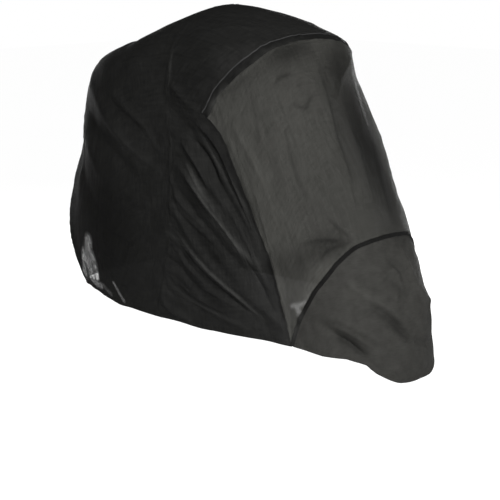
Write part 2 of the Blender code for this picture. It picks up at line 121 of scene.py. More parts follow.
# Folds as soft ridges and troughs along three places each. Width is from the middle line to
# where the fold has fallen to a third, and a trough's height is negative. Side is near, far or
# both, and a fold on both sides is mirrored.
FOLDS = (
    # name, side, angle_1, ring_1, angle_2, ring_2, angle_3, ring_3, width, height
    ("side upper ridge", "both", 88.7, 4.20, 79.0, 3.50, 67.0, 2.60, 0.015, 0.007),
    ("side upper trough", "both", 89.0, 3.65, 80.0, 2.75, 62.0, 1.60, 0.016, -0.008),
    ("side long ridge", "both", 90.0, 3.13, 80.5, 2.00, 58.3, 0.85, 0.014, 0.010),
    ("side long trough", "both", 91.0, 2.20, 83.0, 1.35, 64.0, 0.72, 0.015, -0.008),
    ("side low ridge", "both", 91.7, 1.45, 83.0, 0.82, 66.0, 0.55, 0.012, 0.007),
    ("side low trough", "both", 92.5, 0.95, 86.0, 0.52, 76.0, 0.40, 0.010, -0.004),
    ("side hem ridge", "both", 93.7, 0.62, 91.8, 0.42, 89.0, 0.20, 0.012, 0.005),
    ("bow foot ridge", "both", 78.0, 5.25, 69.5, 4.70, 62.5, 3.70, 0.012, 0.006),
    ("bow foot trough", "both", 81.0, 4.95, 74.0, 4.10, 63.0, 2.75, 0.012, -0.007),
    ("middle ridge", "both", 84.0, 4.65, 78.5, 4.15, 71.0, 3.30, 0.010, 0.005),
    ("ledge ridge", "both", 89.0, 6.15, 82.7, 5.72, 76.5, 5.52, 0.012, 0.005),
    ("ledge trough", "both", 90.0, 5.65, 84.0, 5.22, 78.0, 4.98, 0.018, -0.006),
    ("shoulder ridge", "both", 136.0, 6.20, 116.0, 5.35, 93.0, 4.25, 0.024, 0.009),
    ("shoulder trough", "both", 139.0, 5.45, 116.0, 4.55, 94.0, 3.50, 0.022, -0.007),
    ("back side ridge", "both", 143.0, 4.90, 120.0, 3.85, 97.0, 2.60, 0.026, 0.007),
    ("back side trough", "both", 143.0, 4.00, 124.0, 2.90, 101.0, 1.60, 0.028, -0.006),
    ("back corner ridge", "both", 152.0, 4.40, 148.0, 2.40, 140.0, 0.30, 0.028, 0.009),
    ("back corner trough", "both", 163.0, 4.20, 162.0, 2.20, 156.0, 0.20, 0.026, -0.008),
    ("back middle ridge", "near", 171.0, 5.40, 174.0, 2.80, 171.0, 0.20, 0.024, 0.008),
    ("back middle trough", "far", 177.0, 5.00, 172.0, 2.60, 176.0, 0.20, 0.022, -0.007),
    ("back far ridge", "far", 165.0, 5.60, 160.0, 3.00, 166.0, 0.30, 0.022, 0.006),
    ("roof back trough", "both", 128.0, 8.30, 118.0, 7.40, 104.0, 6.60, 0.028, -0.005),
    ("window right ridge", "far", 17.3, 6.20, 7.5, 4.50, 5.5, 3.40, 0.012, 0.006),
    ("window right trough", "far", 26.0, 6.00, 18.0, 4.40, 14.0, 3.40, 0.014, -0.006),
    ("window middle ridge", "near", 1.0, 6.50, 8.3, 4.60, 18.7, 3.25, 0.013, 0.006),
    ("window middle trough", "near", 12.0, 6.30, 19.0, 4.60, 26.0, 3.40, 0.018, -0.006),
    ("window side ridge", "both", 40.0, 5.90, 42.0, 4.30, 45.0, 2.50, 0.020, 0.006),
    ("window gather", "near", 42.0, 2.60, 30.0, 3.10, 19.0, 3.22, 0.010, -0.004),
    ("toe cross trough", "near", 34.0, 2.05, 20.0, 1.72, 3.0, 1.20, 0.014, -0.009),
    ("toe cross ridge", "near", 30.0, 2.45, 16.0, 2.10, 2.0, 1.62, 0.014, 0.006),
    ("toe far trough", "far", 0.0, 1.15, 8.0, 0.95, 20.0, 0.70, 0.014, -0.008),
    ("toe near trough", "near", 43.0, 1.20, 34.0, 0.98, 26.0, 0.78, 0.011, -0.006),
    ("toe near ridge", "near", 46.0, 1.45, 34.0, 1.40, 20.0, 1.12, 0.013, 0.006),
    ("toe top crease", "near", 14.0, 2.45, 4.0, 2.66, 1.0, 2.20, 0.010, 0.005),
    ("toe far ridge", "far", 4.0, 2.30, 16.0, 1.90, 30.0, 1.30, 0.016, 0.006),
)

# Finer creases, placed as the folds above. The power is 2 for a round fold and nearer 1 for a sharp one.
CREASES = (
    # name, side, angle_1, ring_1, angle_2, ring_2, angle_3, ring_3, width, height, power
    ("shoulder crease", "both", 121.0, 6.05, 106.0, 5.66, 92.0, 4.90, 0.0070, 0.0060, 1.2),
    ("shoulder line", "both", 106.0, 5.60, 95.0, 5.10, 90.0, 4.30, 0.0060, 0.0048, 1.2),
    ("shoulder patch edge", "both", 117.0, 5.20, 104.0, 4.67, 91.0, 3.92, 0.0080, 0.0051, 1.3),
    ("rear short crease", "near", 119.0, 4.60, 120.0, 4.00, 114.0, 3.50, 0.0070, -0.0039, 1.3),
    ("rear high pull", "both", 120.0, 3.60, 106.0, 3.35, 92.0, 2.95, 0.0080, 0.0031, 1.3),
    ("rear middle pull", "both", 118.0, 3.05, 101.0, 2.96, 92.0, 2.60, 0.0070, -0.0031, 1.3),
    ("rear low pull", "both", 120.0, 2.40, 106.0, 2.07, 94.0, 1.80, 0.0080, 0.0034, 1.3),
    ("rear hem pull", "both", 121.0, 1.60, 111.0, 1.20, 96.0, 0.90, 0.0080, -0.0031, 1.3),
    ("rear hem line", "both", 117.0, 1.05, 108.0, 0.72, 97.0, 0.50, 0.0070, 0.0031, 1.3),
    ("elbow ridge", "both", 85.5, 4.78, 79.5, 4.22, 76.5, 3.70, 0.0060, 0.0072, 1.2),
    ("elbow trough", "both", 84.0, 4.98, 76.0, 4.50, 72.5, 3.80, 0.0070, -0.0060, 1.4),
    ("long pull 1", "both", 88.0, 4.28, 78.0, 3.32, 64.0, 2.05, 0.0070, 0.0070, 1.2),
    ("long pull 2", "both", 85.0, 4.28, 80.0, 3.72, 73.0, 3.07, 0.0050, 0.0054, 1.2),
    ("long pull 3", "both", 89.8, 3.90, 88.0, 3.30, 80.0, 2.66, 0.0060, 0.0064, 1.2),
    ("long pull 4", "both", 90.0, 3.35, 86.0, 2.78, 74.0, 2.10, 0.0060, -0.0058, 1.3),
    ("long pull 5", "both", 90.5, 2.58, 82.0, 1.82, 65.0, 0.80, 0.0060, 0.0083, 1.1),
    ("long pull 6", "both", 90.0, 2.28, 82.5, 1.56, 67.0, 0.72, 0.0050, -0.0058, 1.3),
    ("long pull 7", "both", 91.0, 2.25, 88.0, 1.64, 81.0, 1.16, 0.0060, 0.0058, 1.2),
    ("long pull 8", "both", 91.5, 1.80, 87.0, 1.22, 78.0, 0.90, 0.0060, -0.0048, 1.3),
    ("low pull 1", "both", 92.0, 1.36, 87.0, 0.90, 68.0, 0.63, 0.0050, 0.0064, 1.1),
    ("low pull 2", "both", 89.0, 1.14, 80.0, 1.04, 66.0, 0.78, 0.0045, 0.0054, 1.1),
    ("low pull 3", "both", 93.0, 0.95, 90.0, 0.66, 82.0, 0.50, 0.0055, -0.0045, 1.2),
    ("low pull 4", "both", 93.0, 0.64, 91.8, 0.42, 89.0, 0.22, 0.0060, 0.0058, 1.2),
    ("side seam pull 1", "both", 79.0, 5.30, 70.0, 4.70, 63.5, 3.36, 0.0055, 0.0057, 1.2),
    ("side seam pull 2", "both", 75.0, 4.80, 68.0, 3.90, 62.5, 2.90, 0.0060, -0.0054, 1.3),
    ("side seam pull 3", "both", 72.0, 3.60, 65.5, 2.70, 60.0, 1.60, 0.0055, 0.0048, 1.2),
    ("side seam pull 4", "both", 69.0, 2.60, 63.5, 1.80, 58.5, 0.90, 0.0050, -0.0045, 1.2),
    ("hood cross pull 1", "both", 84.0, 5.80, 73.0, 6.30, 58.0, 6.72, 0.0080, 0.0022, 1.4),
    ("hood cross pull 2", "both", 87.0, 6.30, 76.0, 6.80, 62.0, 7.10, 0.0100, -0.0020, 1.5),
    ("hood ledge crease", "both", 89.0, 6.22, 84.0, 5.86, 77.0, 5.56, 0.0055, 0.0034, 1.2),
    ("hood top pull 1", "both", 86.0, 7.60, 62.0, 8.05, 30.0, 8.20, 0.0100, 0.0020, 1.6),
    ("hood top pull 2", "near", 80.0, 8.60, 50.0, 8.90, 10.0, 8.90, 0.0110, -0.0018, 1.6),
    ("window edge pull 1", "both", 70.0, 5.72, 58.0, 6.00, 47.0, 6.15, 0.0060, 0.0034, 1.2),
    ("window edge pull 2", "both", 66.0, 5.10, 62.0, 4.30, 58.0, 3.10, 0.0060, 0.0048, 1.2),
    ("window edge pull 3", "both", 63.0, 4.70, 59.0, 3.60, 56.5, 2.20, 0.0055, -0.0046, 1.2),
    ("window edge pull 4", "both", 58.5, 3.90, 57.0, 2.60, 55.5, 0.90, 0.0050, 0.0043, 1.2),
    ("window edge pull 5", "both", 62.0, 5.36, 56.0, 4.55, 52.5, 3.75, 0.0065, 0.0034, 1.3),
    ("window left fall", "near", 33.0, 6.70, 44.0, 5.75, 50.0, 4.60, 0.0080, 0.0031, 1.4),
    ("window middle fall", "near", 11.0, 6.85, 21.0, 6.10, 28.0, 5.20, 0.0080, 0.0029, 1.4),
    ("window far fall", "far", 6.0, 5.90, 2.5, 4.80, 0.5, 3.50, 0.0045, -0.0043, 1.2),
    ("window dark fall", "near", 0.5, 6.20, 3.0, 5.20, 6.0, 4.00, 0.0070, -0.0048, 1.4),
    ("window light fall", "near", 6.0, 4.80, 10.0, 3.95, 13.5, 3.25, 0.0050, 0.0046, 1.2),
    ("window light fall 2", "near", 12.0, 4.40, 16.0, 3.75, 18.5, 3.24, 0.0045, 0.0036, 1.2),
    ("window far fall 2", "far", 14.0, 6.10, 10.0, 4.90, 8.5, 3.40, 0.0050, 0.0036, 1.2),
    ("window far fall 3", "far", 34.0, 5.90, 31.0, 4.50, 30.0, 3.20, 0.0070, 0.0041, 1.3),
    ("gather 1", "near", 35.0, 3.42, 26.0, 3.33, 19.0, 3.20, 0.0040, 0.0039, 1.1),
    ("gather 2", "near", 44.0, 2.86, 34.0, 3.14, 20.0, 3.17, 0.0045, -0.0042, 1.2),
    ("gather 3", "near", 46.0, 3.05, 36.0, 3.26, 21.0, 3.19, 0.0040, 0.0039, 1.1),
    ("gather 4", "near", 41.0, 2.64, 32.0, 2.97, 20.0, 3.14, 0.0040, 0.0036, 1.1),
    ("gather 5", "near", 30.0, 3.75, 24.0, 3.52, 18.5, 3.24, 0.0040, 0.0034, 1.1),
    ("gather 6", "near", 23.0, 3.80, 20.5, 3.55, 17.8, 3.25, 0.0040, -0.0034, 1.1),
    ("gather 7", "far", 4.0, 3.50, 9.0, 3.42, 16.0, 3.30, 0.0045, 0.0034, 1.2),
    ("toe drag crest", "near", 27.0, 2.20, 14.0, 1.86, 1.0, 1.30, 0.0080, 0.0058, 1.3),
    ("toe drag", "near", 25.0, 2.00, 13.0, 1.68, 0.0, 1.08, 0.0080, -0.0070, 1.4),
    ("toe drag end", "far", 0.0, 1.10, 7.0, 0.92, 13.0, 0.76, 0.0075, -0.0064, 1.4),
    ("toe bay", "near", 16.0, 2.36, 4.0, 2.62, 0.5, 2.42, 0.0070, 0.0054, 1.3),
    ("toe bay turn", "near", 0.5, 2.42, 7.0, 2.10, 9.5, 1.88, 0.0070, 0.0048, 1.3),
    ("toe near drag", "near", 39.5, 1.08, 33.0, 1.00, 25.0, 0.77, 0.0065, -0.0074, 1.3),
    ("toe near crest", "near", 41.0, 1.26, 33.0, 1.20, 22.0, 0.96, 0.0070, 0.0054, 1.3),
    ("toe middle pull", "near", 31.0, 1.86, 26.0, 1.36, 11.0, 0.88, 0.0110, 0.0042, 1.5),
    ("toe seam pull 1", "both", 33.0, 2.50, 27.0, 2.20, 21.0, 2.02, 0.0065, 0.0035, 1.3),
    ("toe seam pull 2", "far", 6.0, 3.05, 9.0, 2.60, 8.0, 2.20, 0.0080, 0.0038, 1.4),
    ("toe far pull", "far", 34.0, 2.10, 24.0, 1.60, 16.0, 0.80, 0.0090, 0.0054, 1.3),
    ("back pull 1", "both", 150.0, 5.60, 140.0, 4.20, 132.0, 2.60, 0.0090, 0.0034, 1.3),
    ("back pull 2", "both", 165.0, 5.20, 156.0, 3.60, 150.0, 1.80, 0.0090, -0.0034, 1.3),
    ("back pull 3", "near", 176.0, 4.80, 172.0, 3.20, 165.0, 1.20, 0.0080, 0.0034, 1.2),
    ("back pull 4", "far", 170.0, 4.40, 168.0, 2.80, 172.0, 0.90, 0.0085, 0.0032, 1.2),
    ("back low pull", "both", 146.0, 2.20, 143.0, 1.30, 139.0, 0.40, 0.0070, 0.0034, 1.2),
    ("back hem pull", "far", 158.0, 1.80, 160.0, 0.90, 157.0, 0.20, 0.0080, -0.0030, 1.3),
    ("back roof pull 1", "both", 132.0, 7.80, 112.0, 7.00, 94.0, 6.50, 0.0100, 0.0030, 1.4),
    ("back roof pull 2", "both", 150.0, 7.40, 136.0, 6.60, 118.0, 6.20, 0.0090, -0.0028, 1.4),
    ("back roof pull 3", "both", 166.0, 8.20, 150.0, 7.70, 120.0, 7.60, 0.0110, 0.0024, 1.5),
)

# Places where the cloth lets more or less light through. Cover is the share of light it stops.
SHEER_PLACES = (
    # name, side, angle_1, ring_1, angle_2, ring_2, angle_3, ring_3, width, cover
    ("rear leaf", "near", 123.5, 1.48, 126.5, 0.95, 127.0, 0.52, 0.020, 0.20),
    ("rear leaf inner", "near", 122.5, 1.10, 121.5, 0.80, 121.5, 0.55, 0.012, 0.20),
    ("rear leaf outer", "near", 130.0, 1.05, 133.5, 0.70, 135.0, 0.45, 0.016, 0.20),
    ("rear leaf low", "near", 128.0, 0.40, 124.0, 0.31, 119.0, 0.33, 0.009, 0.88),
    ("rear wedge", "near", 117.5, 0.37, 115.5, 0.28, 113.0, 0.22, 0.006, 0.95),
    ("rear sliver", "near", 110.8, 0.54, 109.0, 0.38, 106.5, 0.17, 0.004, 0.86),
    ("rear far face", "near", 170.0, 1.05, 165.0, 0.62, 160.0, 0.20, 0.060, 0.55),
    ("rear far face low", "near", 169.0, 0.55, 163.0, 0.22, 152.0, 0.22, 0.034, 0.55),
    ("window side", "both", 67.0, 5.30, 60.0, 3.90, 52.0, 2.40, 0.075, 0.95),
    ("window corner high", "both", 57.0, 2.05, 48.0, 2.10, 39.0, 2.35, 0.050, 0.992),
    ("window corner", "both", 54.5, 1.80, 53.0, 1.25, 55.5, 0.50, 0.060, 0.992),
    ("window glimpse", "near", 53.0, 1.43, 50.2, 1.52, 47.8, 1.62, 0.005, 0.88),
    ("window glimpse low", "near", 51.5, 1.45, 51.0, 1.38, 51.0, 1.29, 0.006, 0.88),
)

# Painted light and shade: the cloth's colour is made darker in troughs, gathers, creases, along seams, under
# the band and on faces turned from the lamps, and lighter on ridges and on faces turned to them; some darker
# places also stand in part for darker things seen through the net. Tone multiplies its colour.
PAINTED_LIGHT_AND_SHADE = (
    # name, side, angle_1, ring_1, angle_2, ring_2, angle_3, ring_3, width, tone
    ("window right", "far", 8.0, 6.80, 5.0, 4.90, 9.0, 2.90, 0.058, 0.24),
    ("window right edge", "far", 22.0, 6.70, 14.0, 4.90, 18.0, 2.90, 0.050, 0.35),
    ("window top dark", "near", 32.0, 6.55, 14.0, 6.85, 0.0, 7.00, 0.032, 0.50),
    ("window foot dark", "near", 50.0, 2.40, 38.0, 2.90, 20.0, 3.35, 0.032, 0.60),
    ("gather dark 1", "near", 45.0, 2.95, 34.0, 3.15, 20.0, 3.20, 0.0045, 0.50),
    ("gather dark 2", "near", 41.0, 2.60, 31.0, 3.00, 19.0, 3.22, 0.0040, 0.55),
    ("gather dark 3", "near", 28.0, 3.62, 23.0, 3.42, 18.0, 3.23, 0.0040, 0.55),
    ("window brow line", "near", 33.0, 6.05, 25.0, 6.25, 14.0, 6.30, 0.0050, 0.62),
    ("window cheek line", "near", 25.0, 5.70, 17.0, 5.58, 9.0, 5.85, 0.0050, 0.62),
    ("window long line", "near", 33.0, 5.30, 36.0, 4.60, 35.0, 3.90, 0.0045, 0.75),
    ("window top right", "far", 20.0, 6.90, 8.0, 6.60, 2.0, 5.90, 0.035, 0.62),
    ("window corner dark", "both", 58.0, 2.60, 50.0, 2.30, 40.0, 2.50, 0.045, 0.58),
    ("window corner low", "both", 56.0, 1.80, 53.0, 1.20, 55.5, 0.60, 0.028, 0.72),
    ("window corner seam", "both", 66.0, 5.00, 61.0, 4.00, 57.5, 2.60, 0.020, 0.80),
    ("window under the band", "both", 66.0, 5.70, 50.0, 6.30, 8.0, 7.00, 0.024, 0.85),
    ("window dark fall", "near", 0.0, 6.60, 3.0, 5.20, 6.0, 4.20, 0.020, 0.70),
    ("window light", "near", 22.0, 6.30, 30.0, 5.20, 34.0, 4.30, 0.075, 1.12),
    ("window near edge", "both", 70.0, 5.20, 62.0, 3.60, 57.5, 1.60, 0.012, 0.60),
    ("window seam line", "both", 59.0, 2.60, 57.0, 1.70, 56.2, 0.90, 0.003, 0.40),
    ("side seam streak", "both", 80.0, 5.25, 74.5, 4.75, 70.0, 4.20, 0.008, 1.70),
    ("side seam dark", "both", 74.5, 5.15, 68.0, 4.20, 63.0, 3.00, 0.012, 0.60),
    ("side ridge light", "near", 84.5, 4.30, 74.5, 2.93, 61.0, 2.10, 0.012, 3.2),
    ("side long light", "near", 91.0, 2.45, 82.0, 1.79, 64.0, 0.75, 0.010, 3.0),
    ("side low light", "near", 92.0, 1.10, 87.5, 0.68, 70.0, 0.53, 0.008, 2.5),
    # A lighter band of painted sheen on the folds beside the side seam
    ("seam fuzz", "near", 73.0, 4.70, 65.0, 3.66, 59.0, 2.30, 0.011, 3.0),
    ("side trough dark", "near", 87.0, 2.85, 77.0, 2.10, 66.0, 1.20, 0.011, 0.48),
    ("side low dark", "near", 91.0, 1.80, 82.0, 0.96, 70.0, 0.68, 0.010, 0.55),
    ("side ridge light far", "far", 84.5, 4.30, 74.5, 2.93, 61.0, 2.10, 0.010, 1.8),
    ("side long light far", "far", 91.0, 2.45, 82.0, 1.79, 64.0, 0.75, 0.009, 1.7),
    ("hood side dark", "both", 90.0, 6.00, 80.0, 6.50, 66.0, 7.10, 0.090, 0.72),
    ("shoulder light", "both", 114.0, 5.00, 102.0, 4.50, 92.0, 3.95, 0.026, 1.45),
    ("back dark", "both", 114.0, 0.20, 110.0, 2.00, 102.0, 3.60, 0.120, 0.60),
    ("toe drag dark", "near", 26.0, 1.96, 13.0, 1.62, 0.0, 1.06, 0.013, 0.50),
    ("toe drag light", "near", 33.0, 2.30, 24.0, 2.00, 10.0, 1.62, 0.018, 1.40),
    ("toe bay dark", "near", 12.0, 2.45, 5.0, 2.30, 6.0, 1.95, 0.010, 0.72),
    ("toe far light", "far", 4.0, 2.70, 12.0, 2.20, 18.0, 1.50, 0.030, 1.25),
    ("arch seam light", "near", 89.2, 7.20, 88.7, 6.50, 88.4, 5.90, 0.004, 1.9),
    ("toe near dark", "near", 40.0, 1.04, 33.0, 0.98, 24.0, 0.76, 0.012, 0.58),
)

# Painted highlights on the sewn-on strips, placed the same way: stretches of the band and the binding made
# lighter where light falls on them
TRIM_PAINTED_LIGHT = (
    # name, side, angle_1, ring_1, angle_2, ring_2, angle_3, ring_3, width, tone
    ("band foot", "both", 72.0, 5.40, 68.5, 5.72, 58.0, 6.20, 0.009, 5.0),
    ("band lower edge", "near", 55.0, 6.40, 30.0, 6.90, 0.0, 7.40, 0.007, 1.7),
    ("binding foot", "both", 56.0, 0.40, 53.5, 0.95, 49.0, 1.50, 0.012, 4.0),
)

# Cells of the fine sheets for each cell of the solids
HOOD_FINE = 7
BACK_FINE = 6
WINDOW_FINE = 6
TOE_FINE = 7
TRIM_FINE = 8

# Cells along and across the solids' pieces
SIDE_CELLS = 24
OVER_CELLS = 24
FRONT_CELLS = 24
HOOD_DEEP_CELLS = 13
BACK_DEEP_CELLS = 17
TOE_HIGH_CELLS = 11

# Cloth, from its outer face to its inner one
NET_THICK = 0.0008
WINDOW_THICK = 0.0006
WOVEN_THICK = 0.0012
BAND_THICK = 0.0018
BINDING_THICK = 0.0022
WELT_RADIUS = 0.0017
WELT_SIDES = 10

# Sewn-on strips
FOOT_BINDING_WIDE = 0.009
BAND_WIDE = 0.017
WELT_WIDE = 0.0032
BINDING_RAISED = 0.0014
BAND_RAISED = 0.0012
WELT_RAISED = 0.0018
BAND_DIP = 0.5
STRIP_POINTS = 9
GAP = 0.0004
SEAM_GAP = 0.0001
OVERLAP = 0.0012
SEAM_POINTS = 960
FOOT_BINDING_START = 3
BOW_TRIM_START = 2

# Hems and seam allowances
HEM_WIDE = 0.012
HEM_RAISED = 0.0007
SEAM_WIDE = 0.006
SEAM_RAISED = 0.0004
SEAM_DOUBLED = 0.35
EDGE_STEP = 0.0012
PUCKER_LENGTH = 0.019
PUCKER_HIGH = 0.0006
PUCKER_DEEP = 0.012
PUCKER_SEED = 22
HEM_WAVE_LENGTH = 0.075
HEM_WAVE_HIGH = 0.0022
HEM_WAVE_DEEP = 0.045
HEM_WAVE_SEED = 21
RING_HIGH = 0.11

# The roof is taut: above these rings the cloth's unevenness falls to a share
TAUT_RING = 5.2
TAUT_RINGS = 1.2
TAUT_SHARE = 0.35

# The cloth's own unevenness, as lengths, heights and seeds of its soft waves
WAVES = ((0.150, 0.0013, 11), (0.055, 0.0005, 12), (0.022, 0.00018, 13))
WAVE_COUNT = 14
WAVE_SPREAD = (0.7, 1.6)

# Stitches
STITCH_PITCH = 0.0042
STITCH_LONG = 0.0031
STITCH_THICK = 0.00045
STITCH_LIFT = 0.00035

# A stitch at its start, middle and end: the share of its length, height and thickness
STITCH_PLACES = (0.0, 0.5, 1.0)
STITCH_HEIGHTS = (-0.6, 1.0, -0.6)
STITCH_THICKS = (0.5, 1.0, 0.5)

# The edges of each cloth that have a row of stitches, and how far in from the edge it runs
STITCH_ROWS = {
    "toe": (("front", 0.0105), ("left", 0.0105), ("right", 0.0105), ("rear", 0.0020)),
    "hood": (("left", 0.0105), ("right", 0.0105), ("front", 0.0050), ("rear", 0.0050)),
    "back": (("left", 0.0105), ("right", 0.0105), ("rear", 0.0105), ("front", 0.0050)),
    "window": (("front", 0.0020), ("rear", 0.0020)),
}

# Inner places that each panel is pushed out from
FRONT_CORE = (0.0, -0.02, 0.62)
HOOD_CORE = (0.0, 0.06, 0.72)
BACK_CORE = (0.0, 0.20, 0.66)

# The form's own mesh, which guides are pushed out to
FORM_ANGLES = 720
FORM_STEPS = 28

# A fold keeps this share of its height at its ends, and rises to all of it by this power of a sine
FOLD_END_SHARE = 0.35
FOLD_RISE = 0.7

# Across its line a fold, a sheer place and a place of painted light or shade each fade by a power of the
# distance in widths, and none reaches further than so many widths
FOLD_POWER = 1.7
SHEER_POWER = 4
PAINTED_LIGHT_POWER = 2
FOLD_REACH = 3.2
FOLD_STEPS = 24

# A distance that is larger than any on the part
FAR_AWAY = 9.0

# A grid's own normal is kept where its cosine to the form's is over this
LEAST_FACING = 0.5

# How much light each cloth stops, from 0 to 1
NET_COVER = 0.998
WINDOW_COVER = 0.66
HEM_COVER = 0.999

# Nets, with their darkest and lightest colour and the distance from hole to hole
NETS = (
    # key, name, dark, light, pitch
    ("net", "dark net", (0.0050, 0.0050, 0.0048), (0.0150, 0.0150, 0.0142), 0.0018),
    ("window", "window net", (0.020, 0.020, 0.018), (0.046, 0.0455, 0.042), 0.0020),
)
NET_ROUGH = 0.90
NET_SPECULAR = 0.04

# Woven cloths, with their darkest and lightest colour and the distance from thread to thread
WOVENS = (
    # key, name, dark, light, pitch, rough
    ("band", "band net", (0.0018, 0.0018, 0.0017), (0.0055, 0.0055, 0.0052), 0.0016, 0.90),
    ("woven", "woven cloth", (0.0110, 0.0108, 0.0098), (0.0200, 0.0197, 0.0182), 0.0013, 0.85),
    ("tape", "tape", (0.0015, 0.0015, 0.0015), (0.0045, 0.0045, 0.0042), 0.0012, 0.90),
    ("welt", "welt cloth", (0.012, 0.012, 0.012), (0.026, 0.026, 0.026), 0.0010, 0.80),
)
WOVEN_SPECULAR = 0.06

# Noise that draws a cloth's shade from dark to light. Across and along are steps in a metre.
NET_SHADE = (
    # name, across, along, detail, rough, share
    ("streaks", 26.0, 240.0, 3.0, 0.6, 0.55),
    ("falls", 150.0, 14.0, 2.0, 0.5, 0.33),
    ("grain", 420.0, 420.0, 1.0, 0.5, 0.35),
)
WOVEN_SHADE = (
    # name, across, along, detail, rough, share
    ("mottle", 38.0, 38.0, 4.0, 0.6, 0.6),
    ("slubs", 45.0, 500.0, 2.0, 0.5, 0.4),
)

# The share of the holes and of the weave in the shade, and the sums at which it is dark and light
HOLE_SHARE = -0.18
WEAVE_SHARE = 0.10
NET_RANGE = (0.40, 0.92)
WOVEN_RANGE = (0.30, 0.72)

# Noise that draws a cloth's relief, in the same steps
NET_RELIEF = (
    # name, across, along, detail, strength, high
    ("crumple", 34.0, 20.0, 3.0, 0.55, 0.0060),
    ("ruffle", 70.0, 55.0, 4.0, 0.60, 0.0020),
)
WOVEN_RELIEF = (
    # name, across, along, detail, strength, high
    ("ruffle", 55.0, 55.0, 4.0, 0.45, 0.0018),
)
RELIEF_ROUGH = 0.60

# The strength and height of the holes and of the weave in the relief
HOLE_RELIEF = (0.5, -0.0003)
WEAVE_RELIEF = (0.45, 0.0002)

# Soft boxes: place in the row frame, size and power
LAMPS_AIM = (0.0, 0.0, -0.45)
LAMPS = (
    # name, place, wide, high, watts
    ("key", (-1.52, -2.76, 0.80), 0.9, 0.9, 275.0),
    ("right", (2.4, -2.2, 1.2), 1.6, 1.6, 14.0),
    ("behind", (0.9, 3.0, -0.2), 1.2, 1.0, 70.0),
    ("far", (2.9, 1.3, -0.25), 1.0, 0.8, 180.0),
)
SURROUND_LIGHT = 0.15
SURROUND_SEEN = 1.0
FLOOR_WIDE = 24.0
FLOOR_GLOW = 0.97
FLOOR_WHITE = 0.08
FLOOR_ROUGH = 0.9
FLOOR_SPECULAR = 0.1

# The mean of a net's hole pattern, and of its square over the square of that mean
PATTERN_MEAN = 4 / math.pi**2
PATTERN_SQUARE = 0.25 / PATTERN_MEAN**2

# Edges sharper than this many degrees are shaded as edges
SHARP_EDGE = 50


def through(rows, place, past=None):
    """A smooth curve's value at a place from 0 to the last row, by Catmull-Rom.

    The curve is drawn on past its last row in a straight line, or to the row given.
    """
    rows = np.asarray(rows, float)
    first = 2 * rows[0] - rows[1]
    if past is None:
        past = 2 * rows[-1] - rows[-2]
    drawn = np.vstack([first, rows, past])
    place = np.clip(np.asarray(place, float), 0, len(rows) - 1 - 1e-9)
    row = np.floor(place).astype(int)
    part = (place - row)[..., None]
    before, start, end, after = (drawn[row + step] for step in range(4))
    return 0.5 * (
        2 * start
        + (end - before) * part
        + (2 * before - 5 * start + 4 * end - after) * part**2
        + (3 * start - before - 3 * end + after) * part**3
    )


def ring_sizes(ring):
    """The form's sizes at a ring number. The ring past the crest is mirrored, so that the roof is round."""
    rows = np.array([row[1:] for row in FORM], float)
    past = rows[-2].copy()
    past[0] = -past[0]
    return through(rows, ring, past)


def form_point(angle, ring):
    """The form's point at an angle in degrees and a ring number."""
    turn = np.radians(np.asarray(angle, float))
    sizes = np.moveaxis(ring_sizes(ring), -1, 0)
    half, front_y, front_z, side_y, side_z, back_y, back_z, front_square, back_square = sizes
    sine, cosine = np.sin(turn), np.cos(turn)
    ahead = cosine > 0
    power = 2 / np.where(ahead, front_square, back_square)
    reach = np.abs(cosine) ** power
    x = half * np.sign(sine) * np.abs(sine) ** power
    y = side_y + np.where(ahead, front_y - side_y, back_y - side_y) * reach
    z = side_z + np.where(ahead, front_z - side_z, back_z - side_z) * cosine**2
    return np.stack([x, y - ORIGIN_BACK, z - ORIGIN_UP], -1)


def hem_ring(angle):
    """The hem's ring number at an angle."""
    angle = (np.asarray(angle, float) + 180) % 360 - 180
    table = np.array(HEM, float)
    near = np.interp(np.abs(angle), table[:, 0], table[:, 1])
    far = np.interp(np.abs(angle), table[:, 0], table[:, 2])
    return np.where(angle < 0, near, far)


def evenly(points, count):
    """The polyline's points at count + 1 even steps of its length."""
    steps = np.linalg.norm(np.diff(points, axis=0), axis=1)
    length = np.concatenate([[0.0], np.cumsum(steps)])
    wanted = np.linspace(0, length[-1], count + 1)
    return np.stack([np.interp(wanted, length, points[:, axis]) for axis in range(3)], -1)


def half_seam(rows, side=-1):
    """A seam's near half as many points on the form, from the first row to the last, or its far half."""
    smooth = through(rows, np.linspace(0, len(rows) - 1, SEAM_POINTS))
    return form_point(side * smooth[:, 0], smooth[:, 1])


def whole(half):
    """A near half and its mirrored far half as one run over the middle."""
    return np.vstack([half, (half * (-1, 1, 1))[::-1][1:]])


def meeting(first, second):
    """Where two polylines come nearest, as a point number on each."""
    away = np.linalg.norm(first[:, None] - second[None], axis=-1)
    return np.unravel_index(away.argmin(), away.shape)


def hem_run(start, end, count):
    """The hem from one angle to another."""
    angles = np.linspace(start, end, SEAM_POINTS)
    return evenly(form_point(angles, hem_ring(angles)), count)


